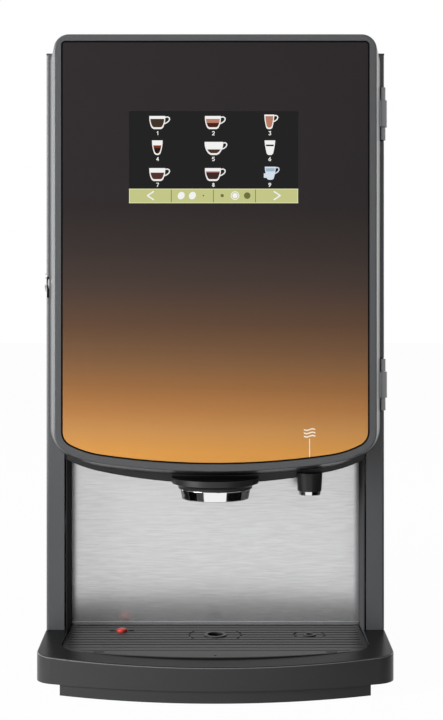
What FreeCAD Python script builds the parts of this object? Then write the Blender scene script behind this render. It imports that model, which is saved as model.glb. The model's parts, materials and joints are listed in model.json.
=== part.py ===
import FreeCAD, Part
import math
import os
from FreeCAD import Vector

os.makedirs("parts", exist_ok=True)

# A counter-top instant coffee machine, in millimetres. X runs to the right as seen from the front,
# Y runs to the back and Z up. The origin is on the counter, under the middle of the machine.

# Body
body_half_w = 161.0
body_front_y = -111.5
body_back_y = 217.5
body_top_z = 589.0
sheet_t = 1.5
pillar_w = 17.2
pillar_bend_r = 3.0
side_bottom_z = 8.0
seat_gap = 0.3
fit_gap = 0.1
inner_half_w = body_half_w - sheet_t - seat_gap
back_panel_y = body_back_y - 3.5
back_flange_w = 14.0
top_flange_h = 14.0
louvre_count = 9
louvre_pitch = 12.0
louvre_x = 80.0
louvre_half_l = 34.0
louvre_h = 3.2
screw_r = 1.9
screw_head_r = 3.6
screw_z = (60.0, 250.0, 420.0, body_top_z - 29.0)

# Cup niche, set in behind the front pillars by a dark gap
niche_gap = 1.3
niche_side_top_z = 214.0
splash_y = -73.5
splash_t = 1.0
niche_half_w = body_half_w - pillar_w - niche_gap - splash_t

# Base pan and feet
skirt_half_w = body_half_w - 22.5
skirt_bottom_z = 1.0
skirt_top_z = 12.0
pan_wall = 2.5
pan_back_y = back_panel_y - 2.5
foot_seat_z = 4.0
foot_r = 9.0
foot_x = skirt_half_w - 18.0
foot_front_y = -178.0
foot_back_y = 190.0

# Drip tray: the rim lies on a plane that falls to the front, and the wall's lower edge rises to it
tray_half_w = body_half_w + 0.5
tray_front_y = -217.5
tray_front_r = 412.0
tray_corner_r = 23.0
tray_back_gap = 0.6
tray_wall = 2.5
tray_floor_z = 12.3
tray_floor_t = 2.0
rim_back_z = 39.9
rim_front_z = 33.0
lip_back_z = 7.0
lip_front_z = 12.5
tray_side_gap = 0.8
tray_back_y = splash_y - tray_side_gap
wing_back_y = body_front_y - tray_back_gap
rim_edge_r = 1.6
ledge_in = 1.5

# Grate
grate_top_z = 36.0
grate_t = 3.0
grate_half_w = niche_half_w - tray_side_gap
grate_front_y = -194.5
grate_front_r = 400.0
grate_corner_r = 26.0
grate_gap = 0.5
slot_count = 9
slot_pitch = 8.9
slot_w = 2.6
slot_half_l = 136.0
first_slot_y = -79.6
groove_w = 1.6
groove_depth = 1.0
web_depth = 1.6
web_w = 3.0
web_pitch = 45.0
groove_places = ((-160.5, 134.0), (-171.0, 122.0))
finger_slot_x = 105.0
finger_slot_y = (-178.0, -175.4)
finger_slot_half_l = 5.0
mark_y = -188.6

# Cup centre, hot-water place and float, as seen from above
spout_x = 0.0
spout_y = -115.5
tap_x = 89.4
cup_hole_r = 7.5
cup_ring_r = 10.8
cup_arc_r = 24.5
tap_hole_r = 3.6
tap_ring_r = 6.3
tap_arc_r = 14.5
float_x = -89.8
float_y = -100.5
float_r = 4.9
float_slot_half_l = 11.7
float_stem_r = 2.4
float_disc_r = 13.0
float_cap_z = 38.3
float_guide_r = 1.3
float_guide_gap = 0.08

# Door: front outline, glass opening and the flank that widens to the back
door_front_y = -163.5
door_back_y = -112.3
door_top_z = body_top_z + 7.0
door_wall = 2.8
bezel_w = 7.1
door_flank = 9.7
door_top_r = 14.0
door_edge_r = 1.8
glass_half_w = body_half_w - 4.0 - bezel_w - door_flank
glass_top_z = body_top_z + 0.3
glass_bottom_z = 203.9
glass_radii = (714.0, 88.0, 14.0)
glass_turns = (27.5, 90.0)
glass_top_r = 3.5
glass_t = 4.0
glass_gap = 0.5
glass_recess = 0.4
ledge_w = 7.0
ledge_t = 3.0
liner_t = 2.5
liner_gap = 0.2
pocket_depth = 16.0
pocket_edge_r = 8.0

# Display behind the glass
display_x = -1.5
display_w = 165.0
display_h = 102.0
display_z = glass_top_z - 54.7 - display_h / 2.0
display_t = 9.0

# Door hinges
hinge_x = body_half_w - 2.5
hinge_y = body_front_y - 0.5
hinge_r = 5.0
end_knuckle_r = 3.6
hinge_pin_r = 2.0
hinge_pin_gap = 0.06
hinge_gap = 0.4
hinge_relief = 0.8
leaf_t = 2.0
leaf_w = 24.0
hinge_arm_l = 13.0
upper_hinge = (body_top_z - 83.0, body_top_z - 33.0)
lower_hinge = (249.0, 298.0)
knuckle_share = 0.24

# Lock in the left side panel
lock_y = -98.0
lock_z = 371.0
lock_ring_r = 9.5
lock_case_r = 8.0
lock_barrel_r = 4.6
lock_barrel_gap = 0.06
lock_proud = 2.5
lock_depth = 20.0
cam_t = 2.0
cam_l = 13.0
notch_h = 20.0
notch_drop = 5.0
notch_w = 2.2
notch_depth = 9.0
notch_in = 0.6
keeper_t = 2.5
keeper_x = 24.5
keeper_bar_l = 7.6
keeper_foot = 4.0
keeper_z = (379.7, 391.0)
keeper_y = (-93.4, -90.8)

# Outlet apron: a shell behind the door's lower edge, with a housing for the outlets that reaches forward
apron_bottom_z = 179.1
apron_radii = (529.0, 130.0)
apron_turns = (26.6,)
apron_top_z = 216.0
apron_wall = 2.5
apron_half_w = niche_half_w
apron_edge_r = 1.5
apron_gap = 0.8
housing_top_z = glass_bottom_z - bezel_w - door_flank - apron_gap
funnel_flare_r = 5.0
funnel_brim_r = 41.2
outlet_x = (-10.0, 10.0)
outlet_y = -100.0
outlet_end_z = 177.0
ring_top_r = 34.0
ring_bottom_r = 32.2
ring_top_z = 176.0
ring_bottom_z = 166.3
ring_wall = 1.6
tap_top_r = 12.3
tap_bottom_r = 11.3
tap_bottom_z = 173.0
tap_top_z = 190.4
tap_seat_t = 2.5
tap_tip_z = 169.3
tap_tip_r = 10.6
tap_bore_r = 3.2
tap_nipple_y = -105.5
tap_nipple_r = 4.0
tap_nipple_bore_r = 2.2
tap_nipple_top_z = 206.0

# Inner walls and canister shelf; the augers' height leads the shelf, the mixers and the rear equipment
auger_z = 322.0
shelf_z = auger_z - 22.0
shelf_t = 2.0
shelf_front_y = -60.0
shelf_back_y = 160.0
bulkhead_y = 88.0
bulkhead_t = 1.5
mixer_wall_y = -42.0
mixer_floor_z = 198.5

# Powder canisters
canister_count = 3
canister_pitch = 91.0
canister_w = 86.0
canister_front_y = -58.0
canister_back_y = 86.0
canister_top_z = 486.0
canister_wall = 2.0
hopper_knee_z = auger_z + 30.0
auger_r = 12.0
auger_core_r = 4.0
auger_tube_gap = 1.5
auger_pitch = 24.0
auger_blade_t = 2.4
trough_r = auger_r + auger_tube_gap + canister_wall
neck_l = 12.0
agitator_teeth = 8
agitator_t = 8.0
agitator_mesh = 4.0
agitator_axle_r = 2.5
agitator_pitch_r = agitator_teeth * auger_pitch / (2.0 * math.pi)
agitator_y = (canister_front_y + canister_back_y) / 2.0
agitator_z = auger_z + auger_r - agitator_mesh / 2.0 + agitator_pitch_r
elbow_l = 26.0
elbow_wall = 2.0
elbow_drop = 30.0
elbow_tilts = (0.0, -35.0, 35.0)
chute_half_w = 11.0
chute_back_y = canister_front_y - neck_l + 1.5
lid_t = 2.0
lid_skirt = 6.0
lid_gap = 0.4
lid_pin_r = 1.6
lid_axis_y = canister_back_y - 3.4
lid_axis_z = canister_top_z + 4.0

# Mixers
mixer_x = (-91.0, 46.0)
bowl_y = -77.0
bowl_top_z = shelf_z - 11.0
bowl_r = 30.0
bowl_neck_r = 12.0
bowl_h = 34.0
bowl_rim_h = 8.0
bowl_wall = 2.0
bowl_halves = (0.0, 20.0)
nipple_z = bowl_top_z - 10.0
nipple_end_y = -38.0
whipper_z = bowl_top_z - 57.0
whipper_r = 22.0
whipper_front_y = -94.0
whipper_back_y = -62.0
whipper_wall = 2.0
impeller_r = 17.0
shaft_r = 3.0
shaft_gap = 0.08
hose_r = 5.0
hose_bore_r = 3.5
tap_hose_z = bowl_top_z - 23.0

# Where each mixer's outlet nozzle starts, its direction and its length
mixer_outlets = (
    ((mixer_x[0] + 10.0, -84.0, whipper_z - 12.0), (0.93, -0.1, -0.35), 16.0),
    ((mixer_x[1] - 8.0, -84.0, whipper_z - 12.0), (-0.707, -0.1, -0.7), 15.0),
)

# Boiler, its heater and its valves
boiler_x = -72.0
boiler_y = 152.0
boiler_r = 52.0
boiler_bottom_z = auger_z + 50.0
boiler_top_z = body_top_z - 29.0
boiler_wall = 1.2
heater_r = 10.0
heater_y = 126.0
heater_half_w = 34.0
heater_rod_r = 4.0
lid_inlet = (-96.0, 168.0)
valve_x = (-104.0, -72.0, -40.0)
valve_y = 180.0
valve_z0 = boiler_bottom_z - 26.0

# Motors
auger_motor_w = 46.0
auger_motor_h = 38.0
auger_motor_l = 58.0
whipper_motor_r = 18.0
whipper_motor_l = 62.0

# Fan, electronics, connections at the back
fan_x = 92.0
fan_z = 140.0
fan_r = 38.0
fan_t = 25.0
fan_blades = 7
inlet_x = -95.0
inlet_z = 62.0
inlet_thread_r = 13.2
inlet_hose_z = 92.0
inlet_hose_x = body_half_w - 14.0
mains_x = 100.0
mains_z = 56.0
board_x = (14.0, 138.0)
board_z = (auger_z + 50.0, body_top_z - 69.0)
board_t = 1.6
board_stand = 6.0
supply_x = (22.0, 128.0)
supply_z = auger_z + 50.0
supply_h = 40.0
supply_depth = 42.0
supply_lid_t = 1.5


def box(x0, x1, y0, y1, z0, z1):
    return Part.makeBox(x1 - x0, y1 - y0, z1 - z0, Vector(x0, y0, z0))


def rod_x(x0, x1, y, z, r):
    return Part.makeCylinder(r, x1 - x0, Vector(x0, y, z), Vector(1, 0, 0))


def rod_y(y0, y1, x, z, r):
    return Part.makeCylinder(r, y1 - y0, Vector(x, y0, z), Vector(0, 1, 0))


def rod_z(z0, z1, x, y, r):
    return Part.makeCylinder(r, z1 - z0, Vector(x, y, z0), Vector(0, 0, 1))


def cone_z(z0, z1, x, y, r0, r1):
    return Part.makeCone(r0, r1, z1 - z0, Vector(x, y, z0), Vector(0, 0, 1))


def fuse(shapes):
    return shapes[0].fuse(shapes[1:]).removeSplitter()


def cut(shape, tools):
    return shape.cut(tools)


def polygon(points):
    return Part.makePolygon([Vector(*p) for p in points] + [Vector(*points[0])])


def prism(points, push):
    return Part.Face(polygon(points)).extrude(Vector(*push))


def mirror_x(shape):
    return shape.mirror(Vector(0, 0, 0), Vector(1, 0, 0))


def save(name, shape):
    if shape.isNull() or not shape.isValid():
        print("bad shape:", name)
    shape.exportStep("parts/" + name + ".step")


def arc3(p, q, r):
    return Part.Arc(Vector(*p), Vector(*q), Vector(*r)).toShape()


def line2(p, q):
    return Part.LineSegment(Vector(*p), Vector(*q)).toShape()


def smile(half_w, bottom, radii, turns):
    """Arcs of an arched lower outline from its middle to its right end, each tangent to the next.

    The radii go from the widest arc outwards, and the turns are the slopes where the arcs after the
    first one end. Each arc is its start, middle and end, as (across, up).
    """
    sines = [math.sin(math.radians(turn)) for turn in turns]
    rest = half_w - radii[-1] * sines[-1]
    for wide, narrow, sine in zip(radii[1:], radii[2:], sines):
        rest -= (wide - narrow) * sine
    angles = [0.0, math.asin(rest / (radii[0] - radii[1]))] + [math.asin(sine) for sine in sines]
    x = 0.0
    z = bottom + radii[0]
    arcs = []
    for i, radius in enumerate(radii):
        start, end = angles[i], angles[i + 1]
        steps = (start, (start + end) / 2.0, end)
        arcs.append([(x + radius * math.sin(q), z - radius * math.cos(q)) for q in steps])
        if i + 1 < len(radii):
            x += (radius - radii[i + 1]) * math.sin(end)
            z -= (radius - radii[i + 1]) * math.cos(end)
    return arcs


def arched_edges(arcs, place):
    """Edges of a symmetric arched outline, from its right end to its left end."""
    bottom, end = arcs[0][0], arcs[0][2]
    edges = [arc3(*[place(x, up) for x, up in reversed(arc)]) for arc in reversed(arcs[1:])]
    edges.append(arc3(place(*end), place(*bottom), place(-end[0], end[1])))
    edges += [arc3(*[place(-x, up) for x, up in arc]) for arc in arcs[1:]]
    return edges


def shield_wire(grow, y, top_z, top_r):
    """The door's outline, the glass outline grown by a margin, with an arched lower edge."""
    half_w = glass_half_w + grow
    arcs = smile(half_w, glass_bottom_z - grow, [r + grow for r in glass_radii], glass_turns)
    side = arcs[-1][2]
    k = top_r * (1.0 - math.sqrt(0.5))
    edges = [
        line2((-half_w + top_r, y, top_z), (half_w - top_r, y, top_z)),
        arc3((half_w - top_r, y, top_z), (half_w - k, y, top_z - k), (half_w, y, top_z - top_r)),
        line2((half_w, y, top_z - top_r), (half_w, y, side[1])),
    ]
    edges += arched_edges(arcs, lambda x, up: (x, y, up))
    edges += [
        line2((-half_w, y, side[1]), (-half_w, y, top_z - top_r)),
        arc3((-half_w, y, top_z - top_r), (-half_w + k, y, top_z - k), (-half_w + top_r, y, top_z)),
    ]
    return Part.Wire(edges)


def shield_plate(grow, y0, y1, top_z, top_r):
    return Part.Face(shield_wire(grow, y0, top_z, top_r)).extrude(Vector(0, y1 - y0, 0))


def bow_wire(grow, half_w, front_y, front_r, corner_r, back_y, z):
    """A plan outline with a bowed front, round front corners and a straight back."""
    w = half_w + grow
    arcs = smile(w, front_y - grow, (front_r + grow, max(corner_r + grow, 0.5)), (90.0,))
    side_y = arcs[-1][2][1]
    edges = [line2((-w, back_y, z), (w, back_y, z)), line2((w, back_y, z), (w, side_y, z))]
    edges += arched_edges(arcs, lambda x, y: (x, y, z))
    edges.append(line2((-w, side_y, z), (-w, back_y, z)))
    return Part.Wire(edges)


def tray_plan(grow, back_y, z0, z1):
    wire = bow_wire(grow, tray_half_w, tray_front_y, tray_front_r, tray_corner_r, back_y, z0)
    return Part.Face(wire).extrude(Vector(0, 0, z1 - z0))


def grate_plan(grow, z0, z1):
    back = tray_back_y + (grow if grow < 0 else 0.0)
    wire = bow_wire(grow, grate_half_w, grate_front_y, grate_front_r, grate_corner_r, back, z0)
    return Part.Face(wire).extrude(Vector(0, 0, z1 - z0))


def slope_wedge(back_z, front_z, top_z):
    """Everything between a plane that falls to the front and a level above or below it."""
    y0 = tray_front_y - 5.0
    y1 = wing_back_y
    rise = (back_z - front_z) / (y1 - tray_front_y)
    z0 = front_z + rise * (y0 - tray_front_y)
    w = tray_half_w + 5.0
    points = [(-w, y0, z0), (-w, y1, back_z), (-w, 0, back_z), (-w, 0, top_z), (-w, y0, top_z)]
    return prism(points, (2.0 * w, 0, 0))


# Base


def base_pan():
    inset = tray_wall + seat_gap
    front = bow_wire(-inset, tray_half_w, tray_front_y, tray_front_r, tray_corner_r, 0, skirt_bottom_z)
    bow = Part.Face(front).extrude(Vector(0, 0, skirt_top_z - skirt_bottom_z))
    strip = box(-skirt_half_w, skirt_half_w, -300, 0, 0, 50)
    deck = bow.common(strip)
    w = inner_half_w
    rear = box(-w, w, body_front_y + sheet_t + seat_gap, pan_back_y, skirt_bottom_z, skirt_top_z)
    pan = fuse([deck, rear])
    inner_front = bow_wire(
        -inset - pan_wall, tray_half_w, tray_front_y, tray_front_r, tray_corner_r, 0, skirt_bottom_z - 1
    )
    hollow_h = skirt_top_z - pan_wall - skirt_bottom_z + 1
    hollow = Part.Face(inner_front).extrude(Vector(0, 0, hollow_h))
    side = skirt_half_w - pan_wall
    hollow = hollow.common(box(-side, side, -300, 0, -5, 50))
    hollow_rear = box(
        -w + pan_wall, w - pan_wall,
        body_front_y + sheet_t + seat_gap + pan_wall, pan_back_y - pan_wall,
        skirt_bottom_z - 1, skirt_top_z - pan_wall,
    )
    pan = cut(pan, [hollow, hollow_rear])
    top = skirt_top_z - pan_wall
    ribs = [box(x - 1, x + 1, foot_front_y, pan_back_y - 1, skirt_bottom_z + 2, top) for x in (-70, 0, 70)]
    ribs += [box(-skirt_half_w + 1, skirt_half_w - 1, y - 1, y + 1, skirt_bottom_z + 2, top)
             for y in (-150, -60, 40, 130)]
    bosses = [rod_z(foot_seat_z, top, x, y, foot_r + 2) for x, y in foot_places()]
    return fuse([pan] + ribs + bosses)


def foot_places():
    return [(x, y) for y in (foot_front_y, foot_back_y) for x in (-foot_x, foot_x)]


def feet():
    pads = []
    for x, y in foot_places():
        pad = rod_z(0, foot_seat_z, x, y, foot_r)
        pads.append(pad.makeFillet(0.8, [pad.Edges[0], pad.Edges[2]]))
    return Part.makeCompound(pads)


# Sheet metal body

def side_blank():
    """The left side as one folded sheet: skin, front pillar face and rear flange."""
    x = body_half_w
    pillar_x = x - pillar_w
    flange_x = x - back_flange_w
    y0 = body_front_y
    y1 = back_panel_y - seat_gap
    t = sheet_t
    points = [
        (-x, y0), (-pillar_x, y0), (-pillar_x, y0 + t), (-x + t, y0 + t), (-x + t, y1 - t),
        (-flange_x, y1 - t), (-flange_x, y1), (-x + t, y1), (-x + t, body_back_y), (-x, body_back_y),
    ]
    z0 = side_bottom_z
    z1 = body_top_z - t - seat_gap
    blank = prism([(p[0], p[1], z0) for p in points], (0, 0, z1 - z0))
    bend = [e for e in blank.Edges
            if abs(e.CenterOfMass.x + x) < 0.01 and abs(e.CenterOfMass.y - y0) < 0.01 and e.Length > 100]
    return blank.makeFillet(pillar_bend_r - t / 2, bend)


def left_side_panel():
    panel = side_blank()
    lock_hole = rod_x(-body_half_w - 1, -body_half_w + sheet_t + 1, lock_y, lock_z, lock_case_r + 0.1)
    z1 = lock_z + notch_drop
    x0 = -body_half_w + notch_in
    notch = box(x0, x0 + notch_w, body_front_y - 1, body_front_y + notch_depth, z1 - notch_h, z1)
    return cut(panel, [lock_hole, notch])


def hinge_space(z_range, r, ends):
    return rod_z(z_range[0] - ends, z_range[1] + ends, hinge_x, hinge_y, r)


def right_side_panel():
    panel = mirror_x(side_blank())
    space = [hinge_space(h, hinge_r + hinge_relief, 1.0) for h in (upper_hinge, lower_hinge)]
    return cut(panel, space)


def top_cover():
    x = body_half_w
    t = sheet_t
    plate = box(-x, x, body_front_y, body_back_y, body_top_z - t, body_top_z)
    rim = [e for e in plate.Edges if e.CenterOfMass.z > body_top_z - 0.01]
    plate = plate.makeFillet(1.0, rim)
    fx = inner_half_w - 0.4
    z0 = body_top_z - top_flange_h
    y0, y1 = body_front_y + 6, back_panel_y - 8
    sides = [box(x0, x0 + t, y0, y1, z0, body_top_z - t / 2) for x0 in (-fx, fx - t)]
    front = box(-niche_half_w, niche_half_w, body_front_y, body_front_y + t, z0, body_top_z - t / 2)
    return fuse([plate, front] + sides)


def louvre_places():
    rows = []
    for i in range(louvre_count):
        for x in (-louvre_x, louvre_x):
            rows.append((x, body_top_z - 63.0 - i * louvre_pitch))
    return rows


def back_panel():
    z0 = skirt_top_z + seat_gap
    z1 = body_top_z - sheet_t - seat_gap
    y0 = back_panel_y
    y1 = y0 + sheet_t
    w = inner_half_w - 0.3
    panel = box(-w, w, y0, y1, z0, z1)
    tools = []
    for x, z in louvre_places():
        tools.append(box(x - louvre_half_l, x + louvre_half_l, y0 - 1, y1 + 1, z, z + louvre_h))
    for i in range(-3, 4):
        z = fan_z + i * 9.0
        half = math.sqrt(fan_r ** 2 - (i * 9.0) ** 2) - 4.0
        tools.append(box(fan_x - half, fan_x + half, y0 - 1, y1 + 1, z - 2.0, z + 2.0))
    tools.append(box(inlet_x - 28, inlet_x + 28, y0 - 1, y1 + 1, inlet_z - 26, inlet_z + 30))
    tools.append(box(mains_x - 14, mains_x + 14, y0 - 1, y1 + 1, mains_z - 10.5, mains_z + 10.5))
    for x, z in back_screw_places():
        tools.append(rod_y(y0 - 1, y1 + 1, x, z, screw_r + 0.1))
    return cut(panel, tools)


def back_screw_places():
    x = body_half_w - back_flange_w / 2.0 - 0.5
    return [(s * x, z) for z in screw_z for s in (-1, 1)]


def panel_screws():
    screws = []
    for x, z in back_screw_places():
        y0 = back_panel_y + sheet_t
        shank = rod_y(back_panel_y + 0.1, y0, x, z, screw_r)
        head = rod_y(y0, y0 + 1.7, x, z, screw_head_r)
        head = head.makeChamfer(0.5, [head.Edges[0]])
        cross = [box(x - 1.8, x + 1.8, y0 + 0.9, y0 + 3, z - 0.4, z + 0.4),
                 box(x - 0.4, x + 0.4, y0 + 0.9, y0 + 3, z - 1.8, z + 1.8)]
        screws.append(cut(fuse([shank, head]), cross))
    return Part.makeCompound(screws)


def splash_panel():
    w = niche_half_w
    t = splash_t
    z0 = skirt_top_z + seat_gap
    y1 = splash_y + t
    front = body_front_y + sheet_t + seat_gap
    back = box(-w - t, w + t, splash_y, y1, z0, mixer_floor_z - seat_gap)
    sides = [box(x0, x0 + t, front, y1, z0, niche_side_top_z) for x0 in (-w - t, w)]
    over_floor = box(-w - 2 * t, w + 2 * t, splash_y - seat_gap, y1 + 1, mixer_floor_z - seat_gap, 300)
    return cut(fuse([back] + sides), [over_floor])


# Drip tray, grate and float


def drip_tray():
    outer = tray_plan(0, wing_back_y, lip_back_z - 5, rim_back_z + 5)
    outer = cut(outer, [slope_wedge(rim_back_z, rim_front_z, 90), slope_wedge(lip_back_z, lip_front_z, -30)])
    crest = [e for e in outer.Edges
             if e.CenterOfMass.z > rim_front_z - 1.5 and e.CenterOfMass.y < wing_back_y - 1]
    outer = outer.makeFillet(rim_edge_r, crest)
    w = grate_half_w
    tongue_top = grate_top_z - grate_t - seat_gap
    tongue = box(-w, w, wing_back_y - 30, tray_back_y, tray_floor_z, tongue_top)
    body = fuse([outer, tongue])
    recess = grate_plan(grate_gap, tongue_top, 90)
    basin = grate_plan(-tray_wall - ledge_in, tray_floor_z + tray_floor_t, 90)
    body = cut(body, [recess, basin])
    keep = grate_plan(-ledge_in + 0.5, -20, 90)
    under = cut(tray_plan(-tray_wall, wing_back_y - tray_wall, -10, tongue_top - 3.2), [keep])
    high = cut(tray_plan(-tray_wall, wing_back_y - tray_wall, tongue_top - 4, 90), [grate_plan(3.2, -20, 90)])
    high = cut(high, [slope_wedge(rim_back_z - 3, rim_front_z - 3, 90)])
    over_deck = tray_plan(-tray_wall, wing_back_y + 20, -10, tray_floor_z)
    w = skirt_half_w + seat_gap
    over_deck = over_deck.common(box(-w, w, tray_front_y, 0, -20, 50))
    body = cut(body, [under, high, over_deck])
    post = rod_z(tray_floor_z + tray_floor_t - 0.5, tray_floor_z + 14, float_x, float_y, float_guide_r)
    return fuse([body, post])


def slot_places():
    return [first_slot_y - i * slot_pitch for i in range(slot_count)]


def ring_boss(x, ring_r, top):
    return rod_z(grate_top_z - grate_t, top, x, spout_y, ring_r)


def arc_mark(x, r, side):
    """A short curved groove beside a cup place."""
    a = math.radians(34.0)
    w = 0.9
    z = grate_top_z - 0.7
    pts = []
    for rr, order in ((r + w, (-a, 0, a)), (r - w, (a, 0, -a))):
        pts.append([(x + side * rr * math.cos(q), spout_y + rr * math.sin(q), z) for q in order])
    edges = [arc3(*pts[0]), line2(pts[0][2], pts[1][0]), arc3(*pts[1]), line2(pts[1][2], pts[0][0])]
    return Part.Face(Part.Wire(edges)).extrude(Vector(0, 0, 3))


def drip_grate():
    z0 = grate_top_z - grate_t
    plate = grate_plan(0, z0, grate_top_z)
    rim = [e for e in plate.Edges
           if e.CenterOfMass.z > grate_top_z - 0.01 and e.CenterOfMass.y < tray_back_y - 1]
    plate = plate.makeFillet(0.6, rim)
    webs = [i * web_pitch for i in range(-2, 3)]
    tools = []
    for y in slot_places():
        y0 = y - slot_w / 2
        y1 = y + slot_w / 2
        tools.append(box(-slot_half_l, slot_half_l, y0, y1, z0 + web_depth, grate_top_z + 1))
        ends = [-slot_half_l] + [w + s * web_w / 2 for w in webs for s in (-1, 1)] + [slot_half_l]
        for a, b in zip(ends[0::2], ends[1::2]):
            tools.append(box(a, b, y0, y1, z0 - 1, z0 + web_depth + 0.1))
    for y, half in groove_places:
        tools.append(box(-half, half, y - groove_w / 2, y + groove_w / 2, grate_top_z - groove_depth, 50))
    for x in (-finger_slot_x, finger_slot_x):
        a, b = x - finger_slot_half_l, x + finger_slot_half_l
        tools.append(box(a, b, finger_slot_y[0], finger_slot_y[1], z0 - 1, 50))
    tools.append(rod_z(z0 - 1, 50, 0, mark_y, 1.3))
    plate = cut(plate, tools)
    ribs = [box(w - web_w / 2, w + web_w / 2, -165, first_slot_y - 3, z0 - 3, z0 + 0.2) for w in webs]
    plate = fuse([plate] + ribs + [
        ring_boss(spout_x, cup_ring_r, grate_top_z + 0.8),
        ring_boss(tap_x, tap_ring_r, grate_top_z + 0.8),
        rod_z(z0, grate_top_z, float_x, float_y, float_r + 2.5),
    ])
    half = float_slot_half_l
    holes = [
        rod_z(z0 - 4, 50, spout_x, spout_y, cup_hole_r),
        rod_z(z0 - 4, 50, tap_x, spout_y, tap_hole_r),
        rod_z(z0 - 4, 50, float_x, float_y, float_r + 0.6),
        box(float_x - half, float_x + half, float_y - 1.6, float_y + 1.6, z0 - 4, 50),
    ]
    marks = [arc_mark(x, r, s) for x, r in ((spout_x, cup_arc_r), (tap_x, tap_arc_r)) for s in (-1, 1)]
    return cut(plate, holes + marks)


def tray_float():
    z0 = tray_floor_z + tray_floor_t + seat_gap
    disc = rod_z(z0, z0 + 5, float_x, float_y, float_disc_r)
    disc = disc.makeFillet(1.2, [disc.Edges[0], disc.Edges[2]])
    stem = rod_z(z0 + 4, grate_top_z, float_x, float_y, float_stem_r)
    cap = rod_z(grate_top_z - 1.5, float_cap_z, float_x, float_y, float_r)
    cap = cap.makeFillet(1.5, [cap.Edges[0]])
    body = fuse([disc, stem, cap])
    return cut(body, [rod_z(z0 - 1, tray_floor_z + 15, float_x, float_y, float_guide_r + float_guide_gap)])


# Outlet apron, chrome ring and hot-water tap


def apron_block(lift, half_w, y0, top):
    """Everything over the apron's arched lower line, which is raised by lift, up to a level top."""
    y1 = splash_y - seat_gap
    arcs = smile(apron_half_w, apron_bottom_z + lift, apron_radii, apron_turns)
    x, z = arcs[-1][2]
    edges = arched_edges(arcs, lambda across, up: (across, y0, up))
    edges += [
        line2((-x, y0, z), (-x, y0, top)),
        line2((-x, y0, top), (x, y0, top)),
        line2((x, y0, top), (x, y0, z)),
    ]
    block = Part.Face(Part.Wire(edges)).extrude(Vector(0, y1 - y0, 0))
    return block.common(box(-half_w, half_w, y0, y1, 0, top))


def outlet_housing():
    """The round housing over the funnel: a flare that starts at the ring and ends in a brim."""
    low = ring_top_r + 1.0
    f = funnel_flare_r
    turns = [math.radians(q) for q in (180.0, 135.0, 90.0)]
    flare = [(low + f + f * math.cos(q), 0, ring_top_z + f * math.sin(q)) for q in turns]
    brim = flare[2][2]
    outer = [flare[2], (funnel_brim_r, 0, brim), (funnel_brim_r, 0, housing_top_z)]
    outer += [(0, 0, housing_top_z), (0, 0, ring_top_z), flare[0]]
    profile = Part.Wire([arc3(*flare)] + [line2(p, q) for p, q in zip(outer, outer[1:])])
    housing = Part.Face(profile).revolve(Vector(0, 0, 0), Vector(0, 0, 1), 360)
    housing.translate(Vector(spout_x, spout_y, 0))
    return housing


def outlet_apron():
    y0 = body_front_y
    t = apron_wall
    block = apron_block(0.0, apron_half_w, y0, apron_top_z)
    lower = [e for e in block.Edges
             if abs(e.CenterOfMass.y - y0) < 0.1 and abs(e.tangentAt(e.FirstParameter).z) < 0.9
             and e.CenterOfMass.z < apron_top_z - 1]
    shell = block.makeFillet(apron_edge_r, lower)
    shell = cut(shell, [apron_block(t, apron_half_w - t, y0 + t, apron_top_z + 5)])
    reach = tap_top_r + tap_seat_t
    seat = apron_block(1.0, apron_half_w - 1, y0 + 0.5, tap_top_z + tap_seat_t)
    seat = seat.common(box(tap_x - reach, tap_x + reach, y0, spout_y + reach, 0, apron_top_z))
    body = fuse([shell, outlet_housing(), seat])
    nipple_hole_r = tap_nipple_r + 1.2
    tools = [
        rod_z(ring_top_z - 1, housing_top_z - t, spout_x, spout_y, ring_top_r - ring_wall),
        rod_z(ring_bottom_z, tap_top_z, tap_x, spout_y, tap_top_r + fit_gap),
        rod_z(ring_bottom_z, apron_top_z, tap_x, tap_nipple_y, nipple_hole_r),
    ]
    tools += [rod_z(ring_top_z, apron_top_z, x, outlet_y, hose_r + 0.2) for x in outlet_x]
    return cut(body, tools)


def spout_ring():
    outer = cone_z(ring_bottom_z, ring_top_z, spout_x, spout_y, ring_bottom_r, ring_top_r)
    outer = outer.makeFillet(0.6, [outer.Edges[0], outer.Edges[2]])
    low = ring_bottom_r - ring_wall
    high = ring_top_r - ring_wall
    bore = cone_z(ring_bottom_z - 1, ring_top_z + 1, spout_x, spout_y, low, high)
    return cut(outer, [bore])


def hot_water_tap():
    top = tap_top_z
    body = cone_z(tap_bottom_z, top, tap_x, spout_y, tap_bottom_r, tap_top_r)
    body = body.makeFillet(0.5, [body.Edges[0], body.Edges[2]])
    nipple = rod_z(top - 6, tap_nipple_top_z, tap_x, tap_nipple_y, tap_nipple_r)
    body = fuse([body, nipple])
    step = rod_z(tap_bottom_z - 1, tap_bottom_z + 4, tap_x, spout_y, tap_tip_r - 1.0)
    bore = rod_z(tap_bottom_z - 1, top - 4, tap_x, spout_y, tap_bore_r)
    side = rod_y(spout_y, tap_nipple_y, tap_x, top - 4, tap_bore_r)
    down = rod_z(top - 4, tap_nipple_top_z + 1, tap_x, tap_nipple_y, tap_nipple_bore_r)
    return cut(body, [step, bore, side.common(rod_z(0, 400, tap_x, spout_y, 9.0)), down])


def tap_tip():
    skirt = cone_z(tap_tip_z, tap_bottom_z, tap_x, spout_y, tap_tip_r - 0.4, tap_tip_r)
    skirt = skirt.makeFillet(0.5, [skirt.Edges[2]])
    spigot = rod_z(tap_bottom_z - 0.5, tap_bottom_z + 3.9, tap_x, spout_y, tap_tip_r - 1.1)
    bore = rod_z(tap_tip_z - 1, tap_bottom_z + 5, tap_x, spout_y, tap_tip_r - 2.2)
    return cut(fuse([skirt, spigot]), [bore])


# Door


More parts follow.
